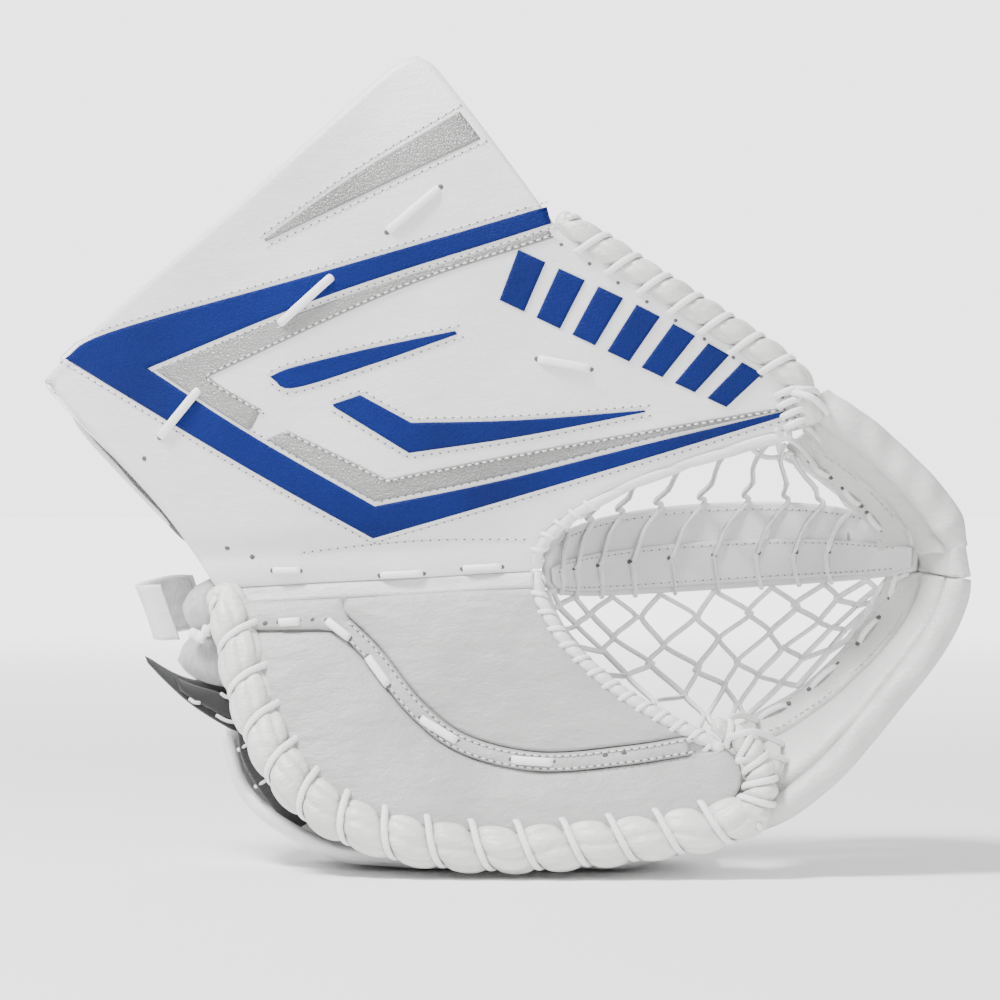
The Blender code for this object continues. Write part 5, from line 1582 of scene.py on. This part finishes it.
def make_thumb_shell(looks):
    """Moulded leather shell over the back of the thumb."""
    top, low = smooth(THUMB_TOP, 200), smooth(THUMB_MOUTH, 200)
    x = np.linspace(24, 104, 60)
    high = np.interp(x, top[:, 0], top[:, 1]) - 2.0
    base = np.interp(x, low[:, 0], low[:, 1]) + 12.0
    front = thumb_y(x, high) + THUMB_STACK + 5.0
    drop = high - base
    rows = []
    for k in range(len(x)):
        section = smooth([(front[k], high[k]), (0.5 * (front[k] + THUMB_SHELL_Y), high[k] - 0.04 * drop[k]),
                          (THUMB_SHELL_Y - 5.0, high[k] - 0.14 * drop[k]),
                          (THUMB_SHELL_Y, high[k] - 0.36 * drop[k]),
                          (THUMB_SHELL_Y, high[k] - 0.7 * drop[k]), (THUMB_SHELL_Y - 2.0, base[k])], 50)
        rows.append(np.stack([np.full(50, x[k]), section[:, 0], section[:, 1]], axis=1))
    grid = np.array(rows)
    n = sheet_normals(grid)
    inward = np.sign((np.array([64.0, 0.0, 200.0]) - grid[30, 30]) @ n[30, 30])
    points, faces = thick_sheet(grid if inward > 0 else grid[::-1], 5.5, 2.2)
    shell = make_piece("thumb_back_leather", points, faces, "white", looks)
    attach(shell, "thumb_half")
    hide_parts("thumb_back_shell")


def make_stalls(looks):
    """Finger and thumb stalls: soft sewn tubes, wrinkled, with a hem at the mouth and a closed tip."""
    ends = {"finger_stall_index": ((-48, 104), (2, 98)), "finger_stall_middle": ((-44, 82), (27, 75)),
            "finger_stall_ring": ((-40, 59.5), (58, 50)), "finger_stall_little": ((-34, 37), (62, 29.5)),
            "thumb_stall": ((26, 216), (98, 203))}
    for name, pair in ends.items():
        thumb = name == "thumb_stall"
        radius = 11.5 if thumb else 10.5
        stack = THUMB_STACK if thumb else PALM_STACK
        surface = thumb_y if thumb else palm_y
        start, end = [np.array([x, surface(x, z) + stack + 1.5 + radius, z]) for x, z in pair]
        axis = (end - start) / np.linalg.norm(end - start)
        reach = np.linalg.norm(end - start)
        side = np.cross(axis, [0.0, 0.0, 1.0])
        side /= np.linalg.norm(side)
        other = np.cross(axis, side)
        tip = radius * np.sqrt(np.clip(1.0 - (np.linspace(0, 1, 14) ** 2), 0.0, 1.0))
        outer = [(0.0, radius - 0.9), (0.8, radius), (3.0, radius + 0.5), (4.5, radius - 0.2)]
        outer += [(t, radius) for t in np.linspace(6.0, reach - radius, 26)]
        outer += [(reach - radius + radius * k, size)
                  for k, size in zip(np.linspace(0, 1, 14)[1:], tip[1:])]
        wall = 1.6
        inner = [(min(t, reach - wall - 0.3), max(size - wall, 0.0)) for t, size in outer[::-1]]
        profile = np.array(outer + inner)
        sides = 28
        angle = np.arange(sides) * 2.0 * np.pi / sides
        folded = profile[:, 1:] > 4.0
        fold = 1.0 + 0.035 * np.sin(profile[:, :1] * 0.9 + 2.0 * np.sin(angle)[None]) * folded
        size = np.maximum(profile[:, 1:], 0.02) * fold
        rings = start + axis * profile[:, None, :1] + size[..., None] * (
            np.cos(angle)[None, :, None] * side + np.sin(angle)[None, :, None] * other)
        faces = grid_faces(len(profile), sides, wrap_rows=True, wrap_columns=True)
        piece = make_piece(name + "_cloth", rings.reshape(-1, 3), faces, "satin", looks)
        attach(piece, "thumb_half" if thumb else "palm_half")
        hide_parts(name)


def cushion(loop, depth, thick, power=2.2, rings=22):
    """A pad between two faces that meet at its outline: its half thickness falls off with the radius."""
    loop = np.asarray(loop, float)
    centre = loop.mean(axis=0)
    share = np.sin(np.linspace(0.0, np.pi / 2.0, rings))
    half = 0.5 * thick * np.maximum(1.0 - share ** power, 0.0) ** 0.5
    flat = centre + (loop - centre)[None] * share[:, None, None]
    y = np.broadcast_to(depth, flat.shape[:2]) if np.isscalar(depth) else depth(flat[..., 0], flat[..., 1])
    face = np.stack([flat[..., 0], y - half[:, None], flat[..., 1]], axis=-1)
    rear = np.stack([flat[..., 0], y + half[:, None], flat[..., 1]], axis=-1)
    rows = np.concatenate([face, rear[:-1][::-1]])
    count = rows.shape[1]
    faces = grid_faces(len(rows), count, wrap_columns=True)
    return rows.reshape(-1, 3), faces


def inflate(piece, voxel, cap):
    """The padded cloth swells under inner pressure; no point moves further than cap."""
    scene = bpy.context.scene
    mesher = piece.modifiers.new("cells", "REMESH")
    mesher.mode = "VOXEL"
    mesher.voxel_size = voxel
    keep_evaluated(piece)
    rest = np.array([v.co for v in piece.data.vertices])
    cloth = piece.modifiers.new("swell", "CLOTH")
    cloth.settings.use_pressure = True
    cloth.settings.uniform_pressure_force = 4.0
    cloth.settings.effector_weights.gravity = 0.0
    cloth.point_cache.frame_start = 1
    cloth.point_cache.frame_end = 20
    for frame_number in range(1, 21):
        scene.frame_set(frame_number)
    keep_evaluated(piece)
    moved = np.array([v.co for v in piece.data.vertices]) - rest
    size = np.linalg.norm(moved, axis=1, keepdims=True)
    moved *= np.minimum(1.0, cap / np.maximum(size, 1e-9))
    piece.data.vertices.foreach_set("co", (rest + moved).ravel())
    scene.frame_set(1)
    rounder = piece.modifiers.new("round", "SUBSURF")
    rounder.levels = 1
    rounder.render_levels = 1
    keep_evaluated(piece)
    piece.data.polygons.foreach_set("use_smooth", np.full(len(piece.data.polygons), True))


def keep_evaluated(piece):
    """The mesh as its modifiers make it takes the place of the piece's own."""
    graph = bpy.context.evaluated_depsgraph_get()
    made = bpy.data.meshes.new_from_object(piece.evaluated_get(graph))
    piece.modifiers.clear()
    piece.data = made


def ring_loop(points, count=96):
    """A smooth closed x,z loop through the points."""
    points = np.asarray(points, float)
    around = np.vstack([points, points[:3]])
    fine = smooth(around, 40 * len(around))
    first = np.argmin(np.linalg.norm(fine - points[1], axis=1)[:len(fine) // 2])
    last = len(fine) - 1 - np.argmin(np.linalg.norm(fine - points[1], axis=1)[::-1][:len(fine) // 2])
    return resample(fine[first:last + 1], count + 1)[:-1]


def make_pads(looks):
    """Stuffed pads: back of the hand, heel of the hand and the lining behind the fingers."""
    pads = (
        ("backhand_cushion", BACKHAND_OUTLINE,
         45.5, 10.5, "white", 0.0045, 0.003, "backhand_pad", "palm_half", 0.55),
        ("heel_cushion", [(-142, 105), (-145, 115), (-138, 124), (-127, 127), (-119, 118), (-122, 104),
                          (-132, 101)],
         14.0, 18.0, "satin", 0.003, 0.0015, "heel_pad", "palm_half", 0.6),
        ("heel_satin_cushion", [(-147, 88), (-143, 100), (-131, 103.5), (-119, 98), (-118, 82), (-132, 78)],
         16.5, 15.0, "satin", 0.003, 0.0015, "heel_satin_liner", "palm_half", 0.4),
        ("finger_back_cushion", [(-96, 66), (-97, 101), (-50, 104), (-6, 100), (30, 74), (66, 50),
                                 (72, 34), (40, 25),
                                 (-10, 23), (-58, 31)],
         39.0, 6.5, "satin", 0.005, 0.002, "finger_back_foam", "palm_half", 0.5),
    )
    for name, outline, depth, thick, look, voxel, cap, node, body, fill in pads:
        points, faces = cushion(ring_loop(outline), depth, thick)
        piece = make_piece(name, points, faces, look, looks)
        inflate(piece, voxel, cap)
        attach(piece, body)
        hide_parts(node)


# ---- straps --------------------------------------------------------------------------------------
def strap(path, width, across, thick, curl=0.0):
    """A flat strap: a thin rounded rectangle carried along a path, its width along a fixed direction."""
    path = np.asarray(path, float)
    across = np.array([across[0], 0.0, across[1]])
    across = across / np.linalg.norm(across)
    ahead = heading(path)
    out = np.cross(ahead, across)
    out = unit(out)
    level = spread(14) - 0.5
    share = np.linspace(0.0, 1.0, len(path))
    width = np.broadcast_to(width, len(path))
    bow = (curl * 4.0 * level ** 2)[:, None, None]
    base = path[None] + across * (level[:, None] * width)[..., None] + out[None] * bow
    gap = np.minimum((0.5 - np.abs(level))[:, None] * width, np.minimum(share, 1.0 - share)[None]
                     * lengths(path)[-1])
    sink = rounded(gap, 0.45 * thick)[..., None]
    points, faces = slab(base + out[None] * sink, base + out[None] * (thick - sink))
    uv = np.stack(np.broadcast_arrays(level[:, None] * width, lengths(path)[None]), axis=-1).reshape(-1, 2)
    return points, faces, np.tile(uv, (2, 1))


def make_straps(looks):
    """Webbing strap across the heel of the hand, and the folded leather loop at the cuff."""
    line = smooth([(-80, 15, 52), (-100, 15, 60), (-113, 15, 65), (-125, 14, 69), (-139, 12, 75),
                   (-150, 9, 82.5),
                   (-160, 7, 91)], 90)
    taper = np.interp(line[:, 0], (-160, -156, -128, -80), (3.5, 7.0, 22.0, 22.0))
    base = strap(line, taper, (-0.36, 0.93), 2.0, 0.3)
    piece = make_piece("hand_webbing", *base[:2], "web", looks, base[2])
    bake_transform(piece)
    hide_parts("hand_strap_base", "hand_strap_tab")
    second = strap(line[30:72] + np.array([0.0, -2.6, 1.0]), taper[30:72] * 0.55, (-0.36, 0.93), 1.8, 0.8)
    piece = make_piece("hand_webbing_fold", *second[:2], "web", looks, second[2])
    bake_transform(piece)
    bars = []
    for share, level, long in ((0.56, -6.0, 4.2), (0.50, 7.0, 2.4), (0.72, -3.5, 2.2)):
        centre = line[int(share * 90)] + np.array([-0.36 * level, -2.6, 0.93 * level])
        run = np.array([[-long, 0.0, 0.38 * long], [0.0, -0.5, -0.6], [long, 0.0, -0.38 * long]]) + centre
        bars.append(tube(smooth(run, 12), 0.8, 0.5, 8))
    points, faces, uv = joined(bars)
    piece = make_piece("webbing_tacks", points, faces, "thread", looks, uv)
    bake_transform(piece)
    fold = smooth([(-138, 33, 115), (-147, 34, 115), (-155, 33, 113.5), (-160, 29.5, 112),
                   (-160.5, 25.5, 111.5),
                   (-157, 22.5, 111), (-151, 23, 111)], 90)
    felt = strap(fold[4:46] + np.array([0.0, -1.9, 0.0]), 24.0, (-0.33, 0.94), 0.9)
    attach(make_piece("cuff_loop_felt", *felt[:2], "satin", looks, felt[2]), "thumb_half")
    loop = strap(fold, 26.0, (-0.33, 0.94), 2.0, 0.5)
    piece = make_piece("cuff_loop_leather", *loop[:2], "white", looks, loop[2])
    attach(piece, "thumb_half")
    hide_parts("cuff_strap_loop")


def make_heel_knot(looks):
    """White knotted lace end between the two heel cushions, and a lace from it to the rim roll."""
    spots = np.array([[-139.0, 6.5, 102.0], [-136.0, 5.0, 100.5], [-133.5, 6.0, 103.5]])
    parts = [knots_at(spots, 2.3), tube(smooth([(-135, 5, 102), (-129, 2, 107), (-122, -1, 109)], 30), 1.5,
                                        1.0, 8)]
    points, faces, uv = joined(parts)
    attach(make_piece("heel_knot_lace", points, faces, "lace", looks, uv), "palm_half")


def make_back_details(looks):
    """Piping round the back-of-hand cushion and round the cuff lining."""
    loop = ring_loop(BACKHAND_OUTLINE, 150)
    centre = loop.mean(axis=0)
    loop = centre + (loop - centre) * 0.985
    path = with_depth(np.vstack([loop, loop[:1]]), 45.5)
    points, faces, uv = tube(path, 1.7, 1.7, 10)
    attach(make_piece("backhand_piping", points, faces, "white", looks, uv), "palm_half")
    outline = chain([(-143, 144), (-160, 161), (-190, 193), (-195, 208)],
                    [(-195, 208), (-113, 283), (-48, 340)],
                    [(-48, 340), (-38, 341)], [(-38, 341), (-13, 309), (14, 270)],
                    [(14, 270), (60, 242), (112, 206)],
                    count=300)
    outline = resample(outline[6:-6], 300)
    depth = cuff_face(outline[:, 0], outline[:, 1]) + COVER_THICK + 1.6
    points, faces, uv = tube(with_depth(outline, depth), 2.0, 1.8, 10)
    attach(make_piece("cuff_piping", points, faces, "white", looks, uv), "thumb_half")


def make_inner_strap(looks):
    """Black webbing that shows between the rim roll and the shell, tacked with white thread."""
    line = smooth([(-115, 3, 66), (-113, 3, 52), (-107, 3, 40), (-98, 2, 28), (-88, 1, 20)], 60)
    band = strap(line, 12.0, (0.85, 0.5), 2.0, 0.3)
    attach(make_piece("rim_webbing", *band[:2], "web", looks, band[2]), "palm_half")
    bars = []
    for share in (0.20, 0.52):
        centre = line[int(share * 60)] + np.array([-2.5, -1.2, -1.5])
        run = np.array([[-3.2, 0.0, -1.9], [0.0, -0.6, 0.0], [3.2, 0.0, 1.9]]) + centre
        bars.append(tube(smooth(run, 12), 0.9, 0.6, 8))
    points, faces, uv = joined(bars)
    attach(make_piece("rim_webbing_tacks", points, faces, "thread", looks, uv), "palm_half")


def make_joins(looks):
    """Braided laces where the T meets the thumb tip and the fingertips."""
    def loop_round(centre, wide, deep, lean, turns=1.0):
        angle = np.linspace(0.0, 2.0 * np.pi * turns, int(34 * turns))
        x = centre[0] + wide * np.cos(angle) + lean * np.sin(angle)
        z = centre[2] + 0.35 * wide * np.cos(angle) * np.sign(lean) + angle * 0.25
        return tube(np.stack([x, centre[1] + deep * np.sin(angle), z], axis=1), 1.5, 1.0, 8)

    tip_y = float(thumb_y(np.array([121.0]), np.array([200.0]))[0])
    parts = [loop_round((119.5 + 0.9 * k, tip_y + 2.5, 206.0 - 4.6 * k), 7.2 - 0.5 * k, 6.6, 2.2)
             for k in range(4)]
    for start, bend, end in (((116, tip_y - 2.0, 207), (128, tip_y - 7.5, 203), (141, -33, 190)),
                             ((118, tip_y - 2.5, 194), (128, -30, 191), (139, -12, 181)),
                             ((112, tip_y - 2.0, 190), (124, -22, 184), (134, 4, 175))):
        parts.append(tube(smooth([start, bend, end], 40), 1.5, 1.05, 8))
    points, faces, uv = joined(parts)
    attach(make_piece("thumb_tip_lacing", points, faces, "lace", looks, uv), "thumb_half")
    tip_y = float(palm_y(np.array([98.0]), np.array([50.0]))[0])
    parts = []
    for start, bend, end in (((92, tip_y - 2.5, 60), (104, tip_y + 1.0, 62), (118, -20, 55)),
                             ((96, tip_y - 2.5, 50), (109, tip_y + 1.0, 52), (122, -26, 48)),
                             ((88, tip_y - 1.0, 64), (98, -20, 68), (108, 2, 64))):
        parts.append(tube(smooth([start, bend, end], 40), 1.5, 1.05, 8))
    points, faces, uv = joined(parts)
    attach(make_piece("fingertip_tie_lacing", points, faces, "lace", looks, uv), "palm_half")


def main():
    """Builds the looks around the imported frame."""
    make_camera()
    floor = make_studio()
    looks = make_looks()
    floor.data.materials.append(looks["floor"])
    make_cuff_cover(looks)
    make_cuff_liner(looks)
    make_trims(looks)
    make_bars(looks)
    make_cuff_ties(looks)
    make_thumb_roll(looks)
    make_palm(looks)
    make_palm_roll(looks)
    make_break(looks)
    make_mouth(looks)
    make_arms(looks)
    make_stem(looks)
    make_gusset(looks)
    make_upper_net(looks)
    make_lower_net(looks)
    make_finger_shell(looks)
    make_thumb_shell(looks)
    make_stalls(looks)
    make_pads(looks)
    make_straps(looks)
    make_inner_strap(looks)
    make_heel_knot(looks)
    make_back_details(looks)
    make_joins(looks)


main()
